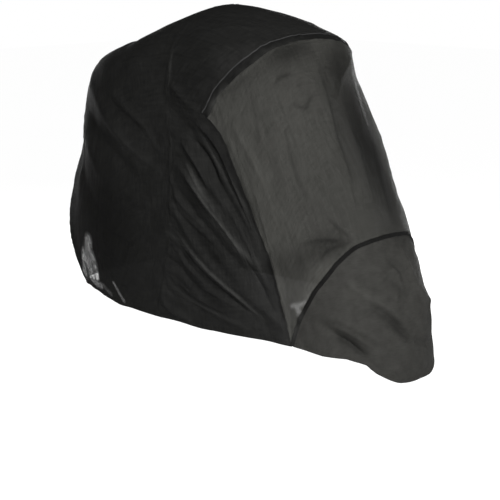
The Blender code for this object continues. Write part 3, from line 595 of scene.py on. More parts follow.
class Form:
    """The form as a mesh that points are pushed out to, along rays from inside."""

    def __init__(self):
        self.angles = np.linspace(-180, 180, FORM_ANGLES + 1)
        self.rings = np.linspace(0, TOP_RING, TOP_RING * FORM_STEPS + 1)
        grid = form_point(*np.meshgrid(self.angles, self.rings))
        rows, columns = grid.shape[:2]
        number = np.arange(rows * columns).reshape(rows, columns)
        faces = np.stack([number[:-1, :-1], number[:-1, 1:], number[1:, 1:], number[1:, :-1]], -1)
        self.grid = grid
        self.tree = BVHTree.FromPolygons(grid.reshape(-1, 3).tolist(), faces.reshape(-1, 4).tolist())
        self.normal = surface_normals(grid)
        self.normal[-1] = self.normal[-2]

    def push(self, points, core):
        """Points pushed out to the form from a core, the form's normals there, and their places.

        A place is an angle and a ring.
        """
        core = Vector((core[0], core[1] - ORIGIN_BACK, core[2] - ORIGIN_UP))
        flat = points.reshape(-1, 3)
        hits = np.empty_like(flat)
        found = np.empty(len(flat), int)
        for index, point in enumerate(flat):
            hit, _, face, _ = self.tree.ray_cast(core, Vector(point) - core)
            if hit is None:
                hit, _, face, _ = self.tree.find_nearest(point)
            hits[index] = hit
            found[index] = face
        i, j = np.divmod(found, FORM_ANGLES)
        corner = self.grid[i, j]
        along = self.grid[i, j + 1] - corner
        up = self.grid[i + 1, j] - corner
        offset = hits - corner
        share_along = self.share(offset, along)
        share_up = self.share(offset, up)
        low = self.normal[i, j] * (1 - share_along) + self.normal[i, j + 1] * share_along
        high = self.normal[i + 1, j] * (1 - share_along) + self.normal[i + 1, j + 1] * share_along
        normals = low * (1 - share_up) + high * share_up
        normals /= np.linalg.norm(normals, axis=-1, keepdims=True)
        places = np.hstack(
            [
                self.angles[j][:, None] + share_along * 360 / FORM_ANGLES,
                self.rings[i][:, None] + share_up / FORM_STEPS,
            ]
        )
        return (
            hits.reshape(points.shape),
            normals.reshape(points.shape),
            places.reshape(*points.shape[:-1], 2),
        )

    @staticmethod
    def share(offset, edge):
        """How far offsets reach along edges, from 0 to 1, as a column."""
        size = np.maximum((edge * edge).sum(-1), 1e-12)
        return np.clip((offset * edge).sum(-1) / size, 0, 1)[:, None]


def coons(front, rear, left, right):
    """A grid between four edges. Front and rear run from left to right, left and right from front to rear."""
    across = np.linspace(0, 1, len(front))[None, :, None]
    deep = np.linspace(0, 1, len(left))[:, None, None]
    ruled = front[None] * (1 - deep) + rear[None] * deep
    sides = left[:, None] * (1 - across) + right[:, None] * across
    corners = (
        front[0] * (1 - across) * (1 - deep)
        + front[-1] * across * (1 - deep)
        + rear[0] * (1 - across) * deep
        + rear[-1] * across * deep
    )
    return ruled + sides - corners


def surface_normals(grid):
    """Normals of a grid of points."""
    across = np.gradient(grid, axis=1)
    deep = np.gradient(grid, axis=0)
    normals = np.cross(across, deep)
    return normals / np.maximum(np.linalg.norm(normals, axis=-1, keepdims=True), 1e-12)


def beside(form, line, offset, core):
    """A line on the form moved across itself. On a near line that runs up, + is towards the back."""
    placed, normals, _ = form.push(line, core)
    along = np.gradient(placed, axis=0)
    across = np.cross(normals, along)
    across /= np.linalg.norm(across, axis=-1, keepdims=True)
    return placed + across * offset


def waves(points, length, seed):
    """Smooth uneven heights of about 1 at points of space, from waves of about one length."""
    draw = np.random.RandomState(seed)
    turns = draw.normal(size=(WAVE_COUNT, 3))
    turns /= np.linalg.norm(turns, axis=1, keepdims=True)
    sizes = 2 * math.pi / (length * draw.uniform(*WAVE_SPREAD, WAVE_COUNT))
    starts = draw.uniform(0, 2 * math.pi, WAVE_COUNT)
    total = np.zeros(points.shape[:-1])
    for turn, size, start in zip(turns, sizes, starts):
        total += np.sin(points @ (turn * size) + start)
    return total / math.sqrt(WAVE_COUNT / 2)


def lines_of(rows):
    """Rows of places as middle lines on the form, with the numbers that follow the places."""
    lines = []
    for _, side, angle_1, ring_1, angle_2, ring_2, angle_3, ring_3, *facts in rows:
        places = ((angle_1, ring_1), (angle_2, ring_2), (angle_3, ring_3))
        for sign, name in ((-1, "near"), (1, "far")):
            if side in ("both", name):
                lines.append((evenly(half_seam(places, sign), FOLD_STEPS), *facts))
    return lines


def along_line(points, line):
    """How far points lie from a polyline, and where along it, from 0 to 1."""
    best = np.full(len(points), FAR_AWAY)
    place = np.zeros(len(points))
    for number, (start, end) in enumerate(zip(line[:-1], line[1:])):
        step = end - start
        share = np.clip((points - start) @ step / (step @ step), 0, 1)
        away = np.linalg.norm(points - start - share[:, None] * step, axis=-1)
        closer = away < best
        best[closer] = away[closer]
        place[closer] = (number + share[closer]) / (len(line) - 1)
    return best, place


def add_lines(total, points, lines, profile):
    """Lets each line's profile change the totals of the points near it."""
    flat = points.reshape(-1, 3)
    sums = total.reshape(-1)
    for line, width, *facts in lines:
        reach = width * FOLD_REACH
        near = ((flat > line.min(0) - reach) & (flat < line.max(0) + reach)).all(1)
        where = np.nonzero(near)[0]
        if len(where):
            away, place = along_line(flat[where], line)
            sums[where] = profile(sums[where], away / width, np.clip(place, 0, 1), *facts)


def fold_profile(total, away, place, height):
    fade = FOLD_END_SHARE + (1 - FOLD_END_SHARE) * np.sin(np.pi * place) ** FOLD_RISE
    return total + height * fade * np.exp(-(away**FOLD_POWER))


def crease_profile(total, away, place, height, power):
    return total + height * np.sin(np.pi * place) ** FOLD_RISE * np.exp(-(away**power))


def sheer_profile(total, away, place, value):
    return total + (value - total) * np.exp(-(away**SHEER_POWER))


# Darkens or lightens the colour near a line: painted light and shade
def painted_light_profile(total, away, place, tone):
    return total * (1 + (tone - 1) * np.sin(np.pi * place) ** FOLD_RISE * np.exp(-(away**PAINTED_LIGHT_POWER)))


class Cloth:
    """What lifts the cloth off the form, where it is sheer, and where light and shade are painted into its
    colour.
    """

    def __init__(self):
        self.folds = lines_of(FOLDS)
        self.creases = lines_of(CREASES)
        self.sheer = lines_of(SHEER_PLACES)
        self.painted_light_and_shade = lines_of(PAINTED_LIGHT_AND_SHADE)
        self.trim_painted_light = lines_of(TRIM_PAINTED_LIGHT)

    def lift(self, points, places):
        """The cloth's height over the form, from folds, creases and its own unevenness."""
        total = np.zeros(points.shape[:-1])
        add_lines(total, points, self.folds, fold_profile)
        add_lines(total, points, self.creases, crease_profile)
        slack = 1 - (1 - TAUT_SHARE) * smooth_step((places[..., 1] - TAUT_RING) / TAUT_RINGS)
        for length, high, seed in WAVES:
            total += high * slack * waves(points, length, seed)
        above = (places[..., 1] - hem_ring(places[..., 0])) * RING_HIGH
        fade = np.exp(-((above / HEM_WAVE_DEEP) ** 2))
        return total + HEM_WAVE_HIGH * fade * waves(points, HEM_WAVE_LENGTH, HEM_WAVE_SEED)

    def pucker(self, points, away):
        """The small gathers of a sewn edge, at a distance from it."""
        fade = np.exp(-((away / PUCKER_DEEP) ** 2))
        return PUCKER_HIGH * fade * waves(points, PUCKER_LENGTH, PUCKER_SEED)

    def cover(self, points, plain):
        """The share of light that the cloth stops, given what it stops without its sheer places."""
        total = np.array(plain)
        add_lines(total, points, self.sheer, sheer_profile)
        return np.clip(total, 0, 1)

    def tone(self, points, lines):
        """Painted light and shade: what the cloth's colour is multiplied by, from the lines of its own or of
        the strips.
        """
        total = np.ones(points.shape[:-1])
        add_lines(total, points, lines, painted_light_profile)
        return total


def distances(grid):
    """Each point's distance from the front, rear, left and right edges along the grid's lines."""
    deep = np.linalg.norm(np.diff(grid, axis=0), axis=-1)
    across = np.linalg.norm(np.diff(grid, axis=1), axis=-1)
    front = np.vstack([np.zeros((1, deep.shape[1])), np.cumsum(deep, 0)])
    left = np.hstack([np.zeros((across.shape[0], 1)), np.cumsum(across, 1)])
    return {
        "front": front,
        "rear": front[-1] - front,
        "left": left,
        "right": left[:, -1:] - left,
    }


def smooth_step(value):
    value = np.clip(value, 0, 1)
    return value * value * (3 - 2 * value)


def border(away, wide, raised):
    """A doubled edge: raised as far as its width, with a soft step down past it."""
    return raised * (1 - smooth_step((away - wide) / EDGE_STEP))


def mesh_object(name, points, faces, uvs=None, layers=()):
    """A smooth mesh object with its uv in metres and float layers, all given for each point."""
    mesh = bpy.data.meshes.new(name)
    mesh.from_pydata([tuple(p) for p in points], [], faces)
    if uvs is not None:
        spots = np.empty(len(mesh.loops), int)
        mesh.loops.foreach_get("vertex_index", spots)
        made = mesh.uv_layers.new(name="cloth")
        made.data.foreach_set("uv", uvs[spots].astype(np.float32).ravel())
    # A mesh without painted light and shade gets 1 there, which leaves its colour as it is
    for layer, values in layers or (("tone", np.ones(len(points))),):
        made = mesh.attributes.new(layer, "FLOAT", "POINT")
        made.data.foreach_set("value", np.asarray(values, np.float32).ravel())
    shape = bmesh.new()
    shape.from_mesh(mesh)
    bmesh.ops.recalc_face_normals(shape, faces=shape.faces)
    shape.to_mesh(mesh)
    shape.free()
    mesh.shade_smooth()
    mesh.set_sharp_from_angle(angle=math.radians(SHARP_EDGE))
    made = bpy.data.objects.new(name, mesh)
    bpy.context.scene.collection.objects.link(made)
    return made


def closed_sheet(name, outer, normals, thick, uvs, cover, tone):
    """A closed sheet between a grid of outer points and the same grid moved in by its thickness."""
    rows, columns = outer.shape[:2]
    inner = outer - normals * np.broadcast_to(thick, outer.shape[:2])[..., None]
    points = np.concatenate([outer.reshape(-1, 3), inner.reshape(-1, 3)])
    number = np.arange(rows * columns).reshape(rows, columns)
    back = number + rows * columns
    quads = [
        np.stack([number[:-1, :-1], number[:-1, 1:], number[1:, 1:], number[1:, :-1]], -1),
        np.stack([back[:-1, :-1], back[1:, :-1], back[1:, 1:], back[:-1, 1:]], -1),
        np.stack([number[0, :-1], back[0, :-1], back[0, 1:], number[0, 1:]], -1),
        np.stack([number[-1, :-1], number[-1, 1:], back[-1, 1:], back[-1, :-1]], -1),
        np.stack([number[:-1, 0], number[1:, 0], back[1:, 0], back[:-1, 0]], -1),
        np.stack([number[:-1, -1], back[:-1, -1], back[1:, -1], number[1:, -1]], -1),
    ]
    faces = np.concatenate([quad.reshape(-1, 4) for quad in quads]).tolist()
    both = np.concatenate([uvs.reshape(-1, 2)] * 2)
    layers = [
        # The cover, and the light and shade painted into the colour
        ("cover", np.concatenate([cover.ravel()] * 2)),
        ("tone", np.concatenate([tone.ravel()] * 2)),
    ]
    return mesh_object(name, points, faces, both, layers)


def keep(made, look, node=None):
    """A piece with its material and body; the node that it stands for is hidden."""
    made.data.materials.append(look)
    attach(made, "root")
    if node is not None:
        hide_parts(node)
    return made


def surface(form, cloth, grid, core):
    """A grid pushed out to the form, the same grid lifted by the cloth's folds, and its normals."""
    placed, normals, places = form.push(grid, core)
    lifted = placed + normals * cloth.lift(placed, places)[..., None]
    return placed, lifted, facing(lifted, normals)


def facing(grid, outward):
    """A grid's own normals on the outward side, or the outward ones where its cells are too thin."""
    across = surface_normals(grid)
    if (across * outward).sum() < 0:
        across = -across
    sound = (across * outward).sum(-1, keepdims=True) > LEAST_FACING
    return np.where(sound, across, outward)


def finer(grid, fine):
    """A grid with each cell cut into fine by fine smooth ones."""
    rows, columns = grid.shape[:2]
    down = np.linspace(0, rows - 1, (rows - 1) * fine + 1)
    grid = through(grid.reshape(rows, -1), down).reshape(len(down), columns, 3)
    grid = grid.transpose(1, 0, 2)
    over = np.linspace(0, columns - 1, (columns - 1) * fine + 1)
    grid = through(grid.reshape(columns, -1), over).reshape(len(over), len(down), 3)
    return grid.transpose(1, 0, 2)


def fine_grid(form, edges, core, fine):
    """The fine grid between edges given by a function of their fineness."""
    placed, _, _ = form.push(coons(*edges(1)), core)
    grid = finer(placed, fine)
    front, rear, left, right = edges(fine)
    return grid + coons(front - grid[0], rear - grid[-1], left - grid[:, 0], right - grid[:, -1])


def panel(form, cloth, name, node, edges, core, fine, thick, hems, cover, look):
    """A fine closed sheet for one cut cloth, with hems on the edges named and seams on the rest."""
    placed, lifted, normals = surface(form, cloth, fine_grid(form, edges, core, fine), core)
    away = distances(placed)
    high = np.zeros(placed.shape[:2])
    doubled = np.zeros(placed.shape[:2])
    seam_away = np.full(placed.shape[:2], FAR_AWAY)
    for edge, gone in away.items():
        hem = edge in hems
        wide, raised = (HEM_WIDE, HEM_RAISED) if hem else (SEAM_WIDE, SEAM_RAISED)
        high = np.maximum(high, border(gone, wide, raised))
        doubled = np.maximum(doubled, border(gone, wide, 1.0 if hem else SEAM_DOUBLED))
        if not hem:
            seam_away = np.minimum(seam_away, gone)
    lifted = lifted + normals * cloth.pucker(placed, seam_away)[..., None]
    normals = facing(lifted, normals)
    lifted = lifted + normals * high[..., None]
    middle = away["left"][:, away["left"].shape[1] // 2][:, None]
    uvs = np.stack([away["left"] - middle, away["front"]], -1)
    covers = cloth.cover(placed, cover + (max(HEM_COVER, cover) - cover) * doubled)
    # Light and shade painted into the cloth's colour
    painted_light_and_shade = cloth.tone(placed, cloth.painted_light_and_shade)
    made = closed_sheet(name, lifted, normals, thick + high, uvs, covers, painted_light_and_shade)
    return keep(made, look, node), lifted, normals, away


def strip(form, cloth, name, node, half, offsets, heights, core, thick, look):
    """A narrow closed strip beside a near half line and its mirror image, arched by its heights."""
    grid = np.stack([whole(beside(form, half, offset, core)) for offset in offsets])
    placed, lifted, normals = surface(form, cloth, grid, core)
    height = np.asarray(heights)[:, None] + cloth.pucker(placed, 0.0)
    lifted = lifted + normals * height[..., None]
    away = distances(placed)
    uvs = np.stack([away["left"], away["front"]], -1)
    covers = np.ones(placed.shape[:2])
    # Highlights painted into the strip's colour
    painted_light_and_shade = cloth.tone(placed, cloth.trim_painted_light)
    made = closed_sheet(name, lifted, normals, thick, uvs, covers, painted_light_and_shade)
    return keep(made, look, node)


def tube(name, line, normals, radius, sides):
    """A closed tube along a line, with a twist-free frame from the surface's normals."""
    along = np.gradient(line, axis=0)
    along /= np.linalg.norm(along, axis=1, keepdims=True)
    aside = np.cross(normals, along)
    aside /= np.linalg.norm(aside, axis=1, keepdims=True)
    up = np.cross(along, aside)
    turns = np.arange(sides) * 2 * math.pi / sides
    ring = np.cos(turns)[None, :, None] * aside[:, None] + np.sin(turns)[None, :, None] * up[:, None]
    points = line[:, None] + ring * radius
    number = np.arange(len(line) * sides).reshape(len(line), sides)
    turned = np.roll(number, -1, axis=1)
    walls = np.stack([number[:-1], turned[:-1], turned[1:], number[1:]], -1).reshape(-1, 4).tolist()
    faces = walls + [number[0].tolist()[::-1], number[-1].tolist()]
    length = np.concatenate([[0.0], np.cumsum(np.linalg.norm(np.diff(line, axis=0), axis=1))])
    uvs = np.stack(np.broadcast_arrays(turns[None] * radius, length[:, None]), -1).reshape(-1, 2)
    return mesh_object(name, points.reshape(-1, 3), faces, uvs)


def parallel(grid, normals, away, edge, distance):
    """A line on a panel at a distance from one of its edges, with the normals there."""
    gone = away[edge]
    if edge in ("left", "right"):
        grid, normals, gone = grid.transpose(1, 0, 2), normals.transpose(1, 0, 2), gone.T
    if edge in ("rear", "right"):
        grid, normals, gone = grid[::-1], normals[::-1], gone[::-1]
    line, up = [], []
    for column in range(grid.shape[1]):
        row = int(np.searchsorted(gone[:, column], distance))
        row = min(max(row, 1), grid.shape[0] - 1)
        low, high = gone[row - 1, column], gone[row, column]
        share = (distance - low) / max(high - low, 1e-9)
        line.append(grid[row - 1, column] * (1 - share) + grid[row, column] * share)
        up.append(normals[row - 1, column] * (1 - share) + normals[row, column] * share)
    return np.array(line), np.array(up)


class Stitches:
    """Rows of short stitches, gathered into one mesh."""

    def __init__(self):
        self.points = []
        self.faces = []

    def row(self, line, up):
        """Stitches along a line, each a slim lozenge that dips into the cloth at its ends."""
        steps = np.linalg.norm(np.diff(line, axis=0), axis=1)
        length = np.concatenate([[0.0], np.cumsum(steps)])
        count = int((length[-1] - STITCH_LONG) / STITCH_PITCH)
        begins = (np.arange(count) + 0.5) * STITCH_PITCH
        places = begins[:, None] + np.array(STITCH_PLACES) * STITCH_LONG
        spot = np.stack([np.interp(places, length, line[:, axis]) for axis in range(3)], -1)
        rise = np.stack([np.interp(places, length, up[:, axis]) for axis in range(3)], -1)
        rise /= np.linalg.norm(rise, axis=-1, keepdims=True)
        along = spot[:, 2:] - spot[:, :1]
        along = along / np.linalg.norm(along, axis=-1, keepdims=True)
        aside = np.cross(rise, np.broadcast_to(along, rise.shape))
        lift = np.array(STITCH_HEIGHTS) * STITCH_LIFT
        half = np.array(STITCH_THICKS) * STITCH_THICK / 2
        middle = spot + rise * lift[None, :, None]
        corners = [
            middle + aside * half[None, :, None],
            middle + rise * half[None, :, None],
            middle - aside * half[None, :, None],
            middle - rise * half[None, :, None],
        ]
        points = np.stack(corners, 2).reshape(-1, 12, 3)
        for stitch in points:
            start = len(self.points)
            self.points.extend(stitch)
            for low in (start, start + 4):
                for side in range(4):
                    turned = (side + 1) % 4
                    self.faces.append((low + side, low + turned, low + 4 + turned, low + 4 + side))
            self.faces.append((start + 3, start + 2, start + 1, start))
            self.faces.append((start + 8, start + 9, start + 10, start + 11))

    def make(self, name, look):
        return keep(mesh_object(name, np.array(self.points), self.faces), look)


class Look:
    """Nodes of one cloth's material, with short calls for the sums that draw its weave."""

    def __init__(self, name, rough, specular):
        self.made = bpy.data.materials.new(name)
        self.made.use_nodes = True
        self.nodes = self.made.node_tree.nodes
        self.links = self.made.node_tree.links
        self.shader = self.nodes["Principled BSDF"]
        self.shader.inputs["Roughness"].default_value = rough
        self.shader.inputs["Specular IOR Level"].default_value = specular
        uv = self.nodes.new("ShaderNodeUVMap")
        uv.uv_map = "cloth"
        apart = self.nodes.new("ShaderNodeSeparateXYZ")
        self.links.new(uv.outputs[0], apart.inputs[0])
        self.uv = uv.outputs[0]
        self.across, self.along = apart.outputs[0], apart.outputs[1]

    def put(self, socket, value):
        """Sets a socket to a value, or links it to a node's output."""
        if isinstance(value, (int, float, tuple)):
            socket.default_value = value
        else:
            self.links.new(value, socket)

    def sum(self, way, first, second=None):
        """A sum of one or two values, by the name of its way."""
        node = self.nodes.new("ShaderNodeMath")
        node.operation = way
        self.put(node.inputs[0], first)
        if second is not None:
            self.put(node.inputs[1], second)
        return node.outputs[0]

    def mottle(self, across, along, detail, rough):
        """Noise over the cloth's own place, with so many steps in a metre each way."""
        place = self.nodes.new("ShaderNodeVectorMath")
        place.operation = "MULTIPLY"
        self.put(place.inputs[0], self.uv)
        place.inputs[1].default_value = (across, along, 0.0)
        node = self.nodes.new("ShaderNodeTexNoise")
        self.put(node.inputs["Vector"], place.outputs[0])
        node.inputs["Scale"].default_value = 1.0
        node.inputs["Detail"].default_value = detail
        node.inputs["Roughness"].default_value = rough
        return node.outputs["Fac"]

    def between(self, value, low, high):
        """How far a value lies on the way from a low one to a high one, from 0 to 1."""
        node = self.nodes.new("ShaderNodeMapRange")
        self.put(node.inputs[0], value)
        node.inputs[1].default_value = low
        node.inputs[2].default_value = high
        return node.outputs[0]

    def colours(self, share, dark, light):
        """A colour between a dark and a light one."""
        node = self.nodes.new("ShaderNodeMix")
        node.data_type = "RGBA"
        self.put(node.inputs[0], share)
        node.inputs[6].default_value = (*dark, 1.0)
        node.inputs[7].default_value = (*light, 1.0)
        return node.outputs[2]

    def bump(self, height, strength, distance, after=None):
        """A normal bent by a height, after another that is bent already."""
        node = self.nodes.new("ShaderNodeBump")
        node.inputs["Strength"].default_value = strength
        node.inputs["Distance"].default_value = distance
        self.put(node.inputs["Height"], height)
        if after is not None:
            self.links.new(after, node.inputs["Normal"])
        return node.outputs[0]

    def layer(self, name):
        """A value that the mesh holds at each point."""
        node = self.nodes.new("ShaderNodeAttribute")
        node.attribute_name = name
        return node.outputs["Fac"]

    def with_painted_light(self, colour):
        """A colour times the light and shade painted on the mesh."""
        node = self.nodes.new("ShaderNodeVectorMath")
        node.operation = "SCALE"
        self.put(node.inputs[0], colour)
        self.put(node.inputs["Scale"], self.layer("tone"))
        return node.outputs[0]

    def colour(self, pattern, share, noise, low, high, dark, light):
        """Colours the cloth from dark to light by its pattern's share and by noise, times the light and shade
        painted on the mesh.
        """
        total = self.sum("MULTIPLY", pattern, share)
        for _, across, along, detail, rough, part in noise:
            mottle = self.mottle(across, along, detail, rough)
            total = self.sum("ADD", total, self.sum("MULTIPLY", mottle, part))
        drawn = self.colours(self.between(total, low, high), dark, light)
        self.put(self.shader.inputs["Base Color"], self.with_painted_light(drawn))

    def relief(self, pattern, strength, high, noise):
        """Bends the cloth's normal by noise, and then by its pattern."""
        bent = None
        for _, across, along, detail, noise_strength, noise_high in noise:
            mottle = self.mottle(across, along, detail, RELIEF_ROUGH)
            bent = self.bump(mottle, noise_strength, noise_high, bent)
        self.put(self.shader.inputs["Normal"], self.bump(pattern, strength, high, bent))


def hole_pattern(look, pitch):
    """How open a knitted net is at each place, from 0 on its threads to 1 amid its holes.

    Every other row of holes is shifted by half a hole.
    """
    rows = look.sum("MULTIPLY", look.along, 1 / pitch)
    whole_rows = look.sum("FLOOR", rows)
    shift = look.sum("MULTIPLY", look.sum("MODULO", whole_rows, 2.0), 0.5)
    columns = look.sum("ADD", look.sum("MULTIPLY", look.across, 1 / pitch), shift)
    across = look.sum("ABSOLUTE", look.sum("SINE", look.sum("MULTIPLY", columns, math.pi)))
    along = look.sum("ABSOLUTE", look.sum("SINE", look.sum("MULTIPLY", rows, math.pi)))
    return look.sum("MULTIPLY", across, along)


def net_look(name, dark, light, pitch):
    """Knitted net: sheer holes between threads, soft streaks and a fine grain."""
    look = Look(name, NET_ROUGH, NET_SPECULAR)
    hole = hole_pattern(look, pitch)
    look.colour(hole, HOLE_SHARE, NET_SHADE, *NET_RANGE, dark, light)
    let_through = look.sum("SUBTRACT", 1.0, look.layer("cover"))
    gone = look.sum("SQRT", look.sum("DIVIDE", let_through, PATTERN_SQUARE))
    open_share = look.sum("MULTIPLY", gone, look.sum("DIVIDE", hole, PATTERN_MEAN))
    open_share = look.sum("MINIMUM", open_share, 1.0)
    look.put(look.shader.inputs["Alpha"], look.sum("SUBTRACT", 1.0, open_share))
    look.relief(hole, *HOLE_RELIEF, NET_RELIEF)
    return look.made


def woven_look(name, dark, light, pitch, rough):
    """Plain woven cloth, opaque: over-and-under threads, a soft mottle and fine slubs."""
    look = Look(name, rough, WOVEN_SPECULAR)
    rows = look.sum("MULTIPLY", look.along, math.pi / pitch)
    columns = look.sum("MULTIPLY", look.across, math.pi / pitch)
    weave = look.sum("MULTIPLY", look.sum("SINE", rows), look.sum("SINE", columns))
    look.colour(weave, WEAVE_SHARE, WOVEN_SHADE, *WOVEN_RANGE, dark, light)
    look.relief(weave, *WEAVE_RELIEF, WOVEN_RELIEF)
    return look.made


def make_toe(form, cloth, foot, looks):
    """The woven toe piece between the hem and the foot binding."""

    def edges(fine):
        high = beside(form, foot, -FOOT_BINDING_WIDE / 2 - GAP, FRONT_CORE)
        rear = whole(evenly(high, FRONT_CELLS * fine // 2))
        front = hem_run(-TOE_CORNER, TOE_CORNER, FRONT_CELLS * fine)
        left = hem_run(-TOE_CORNER, -ANCHOR, TOE_HIGH_CELLS * fine)
        right = hem_run(TOE_CORNER, ANCHOR, TOE_HIGH_CELLS * fine)
        left[-1], right[-1] = rear[0], rear[-1]
        return front, rear, left, right

    return panel(
        form, cloth, "toe_cloth", "foot_panel", edges, FRONT_CORE, TOE_FINE,
        WOVEN_THICK, ("front", "left", "right"), 1.0, looks["woven"],
    )


def make_window(form, cloth, foot, side, bow, looks):
    """The sheer window between the foot binding, the side seams and the band."""
    low = beside(form, foot, FOOT_BINDING_WIDE / 2 + GAP, FRONT_CORE)
    high = beside(form, bow, -WELT_WIDE / 2 - BAND_WIDE - 2 * GAP, HOOD_CORE)
    edge = beside(form, side, -SEAM_GAP / 2, FRONT_CORE)
    low_start, edge_start = meeting(low, edge)
    high_start, edge_end = meeting(high, edge)

    def edges(fine):
        left = evenly(edge[edge_start : edge_end + 1], SIDE_CELLS * fine)
        front = evenly(low[low_start:], FRONT_CELLS * fine // 2)
        rear = evenly(high[high_start:], FRONT_CELLS * fine // 2)
        left[0], left[-1] = front[0], rear[0]
        return whole(front), whole(rear), left, left * (-1, 1, 1)

    return panel(
        form, cloth, "window_cloth", "window_panel", edges, FRONT_CORE, WINDOW_FINE,
        WINDOW_THICK, (), WINDOW_COVER, looks["window"],
    )


def over_run(line, shoulder, fine):
    """A near line in even cells up to its shoulder and on to the middle, with its mirror image."""
    side = evenly(line[: shoulder + 1], SIDE_CELLS * fine)
    over = evenly(line[shoulder:], OVER_CELLS * fine // 2)
    return whole(np.vstack([side, over[1:]]))


def make_hood(form, cloth, side, bow, arch, shoulder, looks):
    """The hood with its sides, one cloth from the near hem over the top to the far hem."""

    def edges(fine):
        side_edge = beside(form, evenly(side, SIDE_CELLS * fine), SEAM_GAP / 2, HOOD_CORE)
        bow_edge = beside(form, evenly(bow, OVER_CELLS * fine // 2), WELT_WIDE / 2 + GAP, HOOD_CORE)
        front = whole(np.vstack([side_edge[:-1], bow_edge]))
        rear = over_run(beside(form, arch, -SEAM_GAP / 2, HOOD_CORE), shoulder, fine)
        left = hem_run(-ANCHOR, -ARCH_FOOT, HOOD_DEEP_CELLS * fine)
        right = hem_run(ANCHOR, ARCH_FOOT, HOOD_DEEP_CELLS * fine)
        left[0], left[-1], right[0], right[-1] = front[0], rear[0], front[-1], rear[-1]
        return front, rear, left, right

    return panel(
        form, cloth, "hood_cloth", "hood_panel", edges, HOOD_CORE, HOOD_FINE,
        NET_THICK, ("left", "right"), NET_COVER, looks["net"],
    )


def make_back(form, cloth, arch, shoulder, looks):
    """The back, from the arch seam over the shoulders and down to the hem behind."""

    def edges(fine):
        front = over_run(beside(form, arch, SEAM_GAP / 2, BACK_CORE), shoulder, fine)
        rear = hem_run(-BACK_CORNER, BACK_CORNER - 360, len(front) - 1)
        left = hem_run(-ARCH_FOOT, -BACK_CORNER, BACK_DEEP_CELLS * fine)
        right = hem_run(ARCH_FOOT, BACK_CORNER, BACK_DEEP_CELLS * fine)
        left[0], right[0] = front[0], front[-1]
        return front, rear, left, right

    return panel(
        form, cloth, "back_cloth", "back_panel", edges, BACK_CORE, BACK_FINE,
        NET_THICK, ("left", "right", "rear"), NET_COVER, looks["net"],
    )


def make_trims(form, cloth, foot, bow, looks):
    """The foot binding, the doubled band over the window and the welt on the bow seam."""
    cells = FRONT_CELLS * TRIM_FINE // 2
    run = evenly(foot, cells)
    run[0] = foot[FOOT_BINDING_START]
    spread = np.linspace(-1, 1, STRIP_POINTS)
    binding = strip(
        form, cloth, "toe_binding", "foot_binding", run, spread * (FOOT_BINDING_WIDE / 2 + OVERLAP),
        BINDING_RAISED * (1 - spread**4), FRONT_CORE, BINDING_THICK, looks["tape"],
    )
    run = evenly(bow, cells)
    run[0] = bow[BOW_TRIM_START]
    low = -WELT_WIDE / 2 - GAP
    spread = np.linspace(0, 1, STRIP_POINTS)
    rise = BAND_RAISED * (1 - BAND_DIP * np.sin(np.pi * spread))
    band = strip(
        form, cloth, "bow_band_cloth", "bow_band", run, low - (BAND_WIDE + OVERLAP) * (1 - spread),
        rise, HOOD_CORE, BAND_THICK, looks["band"],
    )
    return binding, band, run


def make_welt(form, cloth, run, looks):
    """The corded welt along the bow seam."""
    line = whole(beside(form, run, 0.0, HOOD_CORE))
    placed, outward, places = form.push(line, HOOD_CORE)
    height = cloth.lift(placed, places) + cloth.pucker(placed, 0.0) + WELT_RAISED - WELT_RADIUS
    lifted = placed + outward * height[:, None]
    return keep(tube("bow_welt", lifted, outward, WELT_RADIUS, WELT_SIDES), looks["welt"], "bow_piping")


def aim(place, target):
    """A lamp's or camera's matrix at a place, looking at a target, with its top up."""
    ahead = (Vector(target) - Vector(place)).normalized()
    right = ahead.cross(Vector((0, 0, 1))).normalized()
    up = right.cross(ahead)
    turn = Matrix((right, up, -ahead)).transposed().to_4x4()
    return Matrix.Translation(place) @ turn


def make_camera():
    """The camera at the photograph's view."""
    turn, tilt = math.radians(CAMERA_TURN), math.radians(CAMERA_TILT)
    ahead = Vector((math.sin(turn) * math.cos(tilt), math.cos(turn) * math.cos(tilt), -math.sin(tilt)))
    data = bpy.data.cameras.new("camera")
    data.lens = CAMERA_LENS
    data.sensor_width = CAMERA_SENSOR
    camera = bpy.data.objects.new("camera", data)
    camera.matrix_world = aim(CAMERA_AT, Vector(CAMERA_AT) + ahead)
    bpy.context.scene.collection.objects.link(camera)
    bpy.context.scene.camera = camera


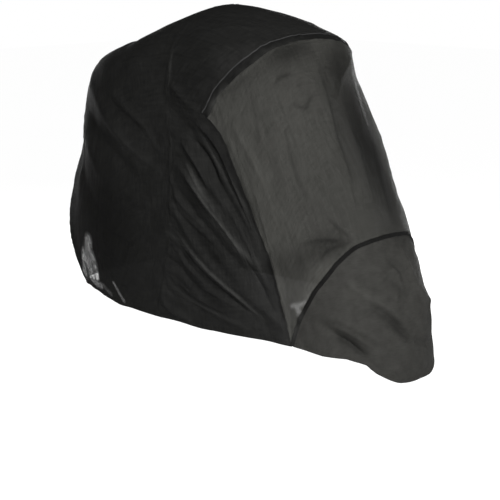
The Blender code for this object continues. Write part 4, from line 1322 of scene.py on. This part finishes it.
def make_lights():
    """Soft boxes around the part, and an even white surround."""
    for name, place, wide, high, watts in LAMPS:
        data = bpy.data.lights.new(name, "AREA")
        data.shape = "RECTANGLE"
        data.size, data.size_y = wide, high
        data.energy = watts
        lamp = bpy.data.objects.new(name, data)
        lamp.matrix_world = aim(place, LAMPS_AIM)
        bpy.context.scene.collection.objects.link(lamp)
    world = bpy.data.worlds.new("surround")
    bpy.context.scene.world = world
    world.use_nodes = True
    nodes, links = world.node_tree.nodes, world.node_tree.links
    shade = nodes["Background"]
    shade.inputs["Color"].default_value = (1.0, 1.0, 1.0, 1.0)
    seen = nodes.new("ShaderNodeLightPath")
    strength = nodes.new("ShaderNodeMapRange")
    links.new(seen.outputs["Is Camera Ray"], strength.inputs[0])
    strength.inputs[3].default_value = SURROUND_LIGHT
    strength.inputs[4].default_value = SURROUND_SEEN
    links.new(strength.outputs[0], shade.inputs["Strength"])
    bpy.context.scene.view_settings.view_transform = "Standard"


def make_floor():
    """A plain white floor at the level on which the covered thing stands."""
    half = FLOOR_WIDE / 2
    corners = [(x * half, y * half, -ORIGIN_UP) for x, y in ((-1, -1), (1, -1), (1, 1), (-1, 1))]
    floor = mesh_object("floor", corners, [(0, 1, 2, 3)])
    look = bpy.data.materials.new("floor white")
    look.use_nodes = True
    shader = look.node_tree.nodes["Principled BSDF"]
    shader.inputs["Base Color"].default_value = (FLOOR_WHITE, FLOOR_WHITE, FLOOR_WHITE, 1.0)
    shader.inputs["Roughness"].default_value = FLOOR_ROUGH
    shader.inputs["Specular IOR Level"].default_value = FLOOR_SPECULAR
    shader.inputs["Emission Color"].default_value = (1.0, 1.0, 1.0, 1.0)
    shader.inputs["Emission Strength"].default_value = FLOOR_GLOW
    floor.data.materials.append(look)


def main():
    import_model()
    make_camera()
    make_lights()
    make_floor()
    looks = {key: net_look(*facts) for key, *facts in NETS}
    looks.update({key: woven_look(*facts) for key, *facts in WOVENS})
    form = Form()
    cloth = Cloth()
    foot, side = half_seam(FOOT_SEAM), half_seam(SIDE_SEAM)
    bow, arch = half_seam(BOW_SEAM), half_seam(ARCH_SEAM)
    shoulder = int(np.argmin(np.abs(arch[:, 2] - (ARCH_SHOULDER_UP - ORIGIN_UP))))
    toe = make_toe(form, cloth, foot, looks)
    window = make_window(form, cloth, foot, side, bow, looks)
    hood = make_hood(form, cloth, side, bow, arch, shoulder, looks)
    back = make_back(form, cloth, arch, shoulder, looks)
    binding, band, run = make_trims(form, cloth, foot, bow, looks)
    welt = make_welt(form, cloth, run, looks)
    stitches = Stitches()
    cloths = {"toe": toe, "hood": hood, "back": back, "window": window}
    for name, rows in STITCH_ROWS.items():
        _, grid, normals, away = cloths[name]
        for edge, distance in rows:
            stitches.row(*parallel(grid, normals, away, edge, distance))
    sewn = stitches.make("stitches", looks["tape"])


main()
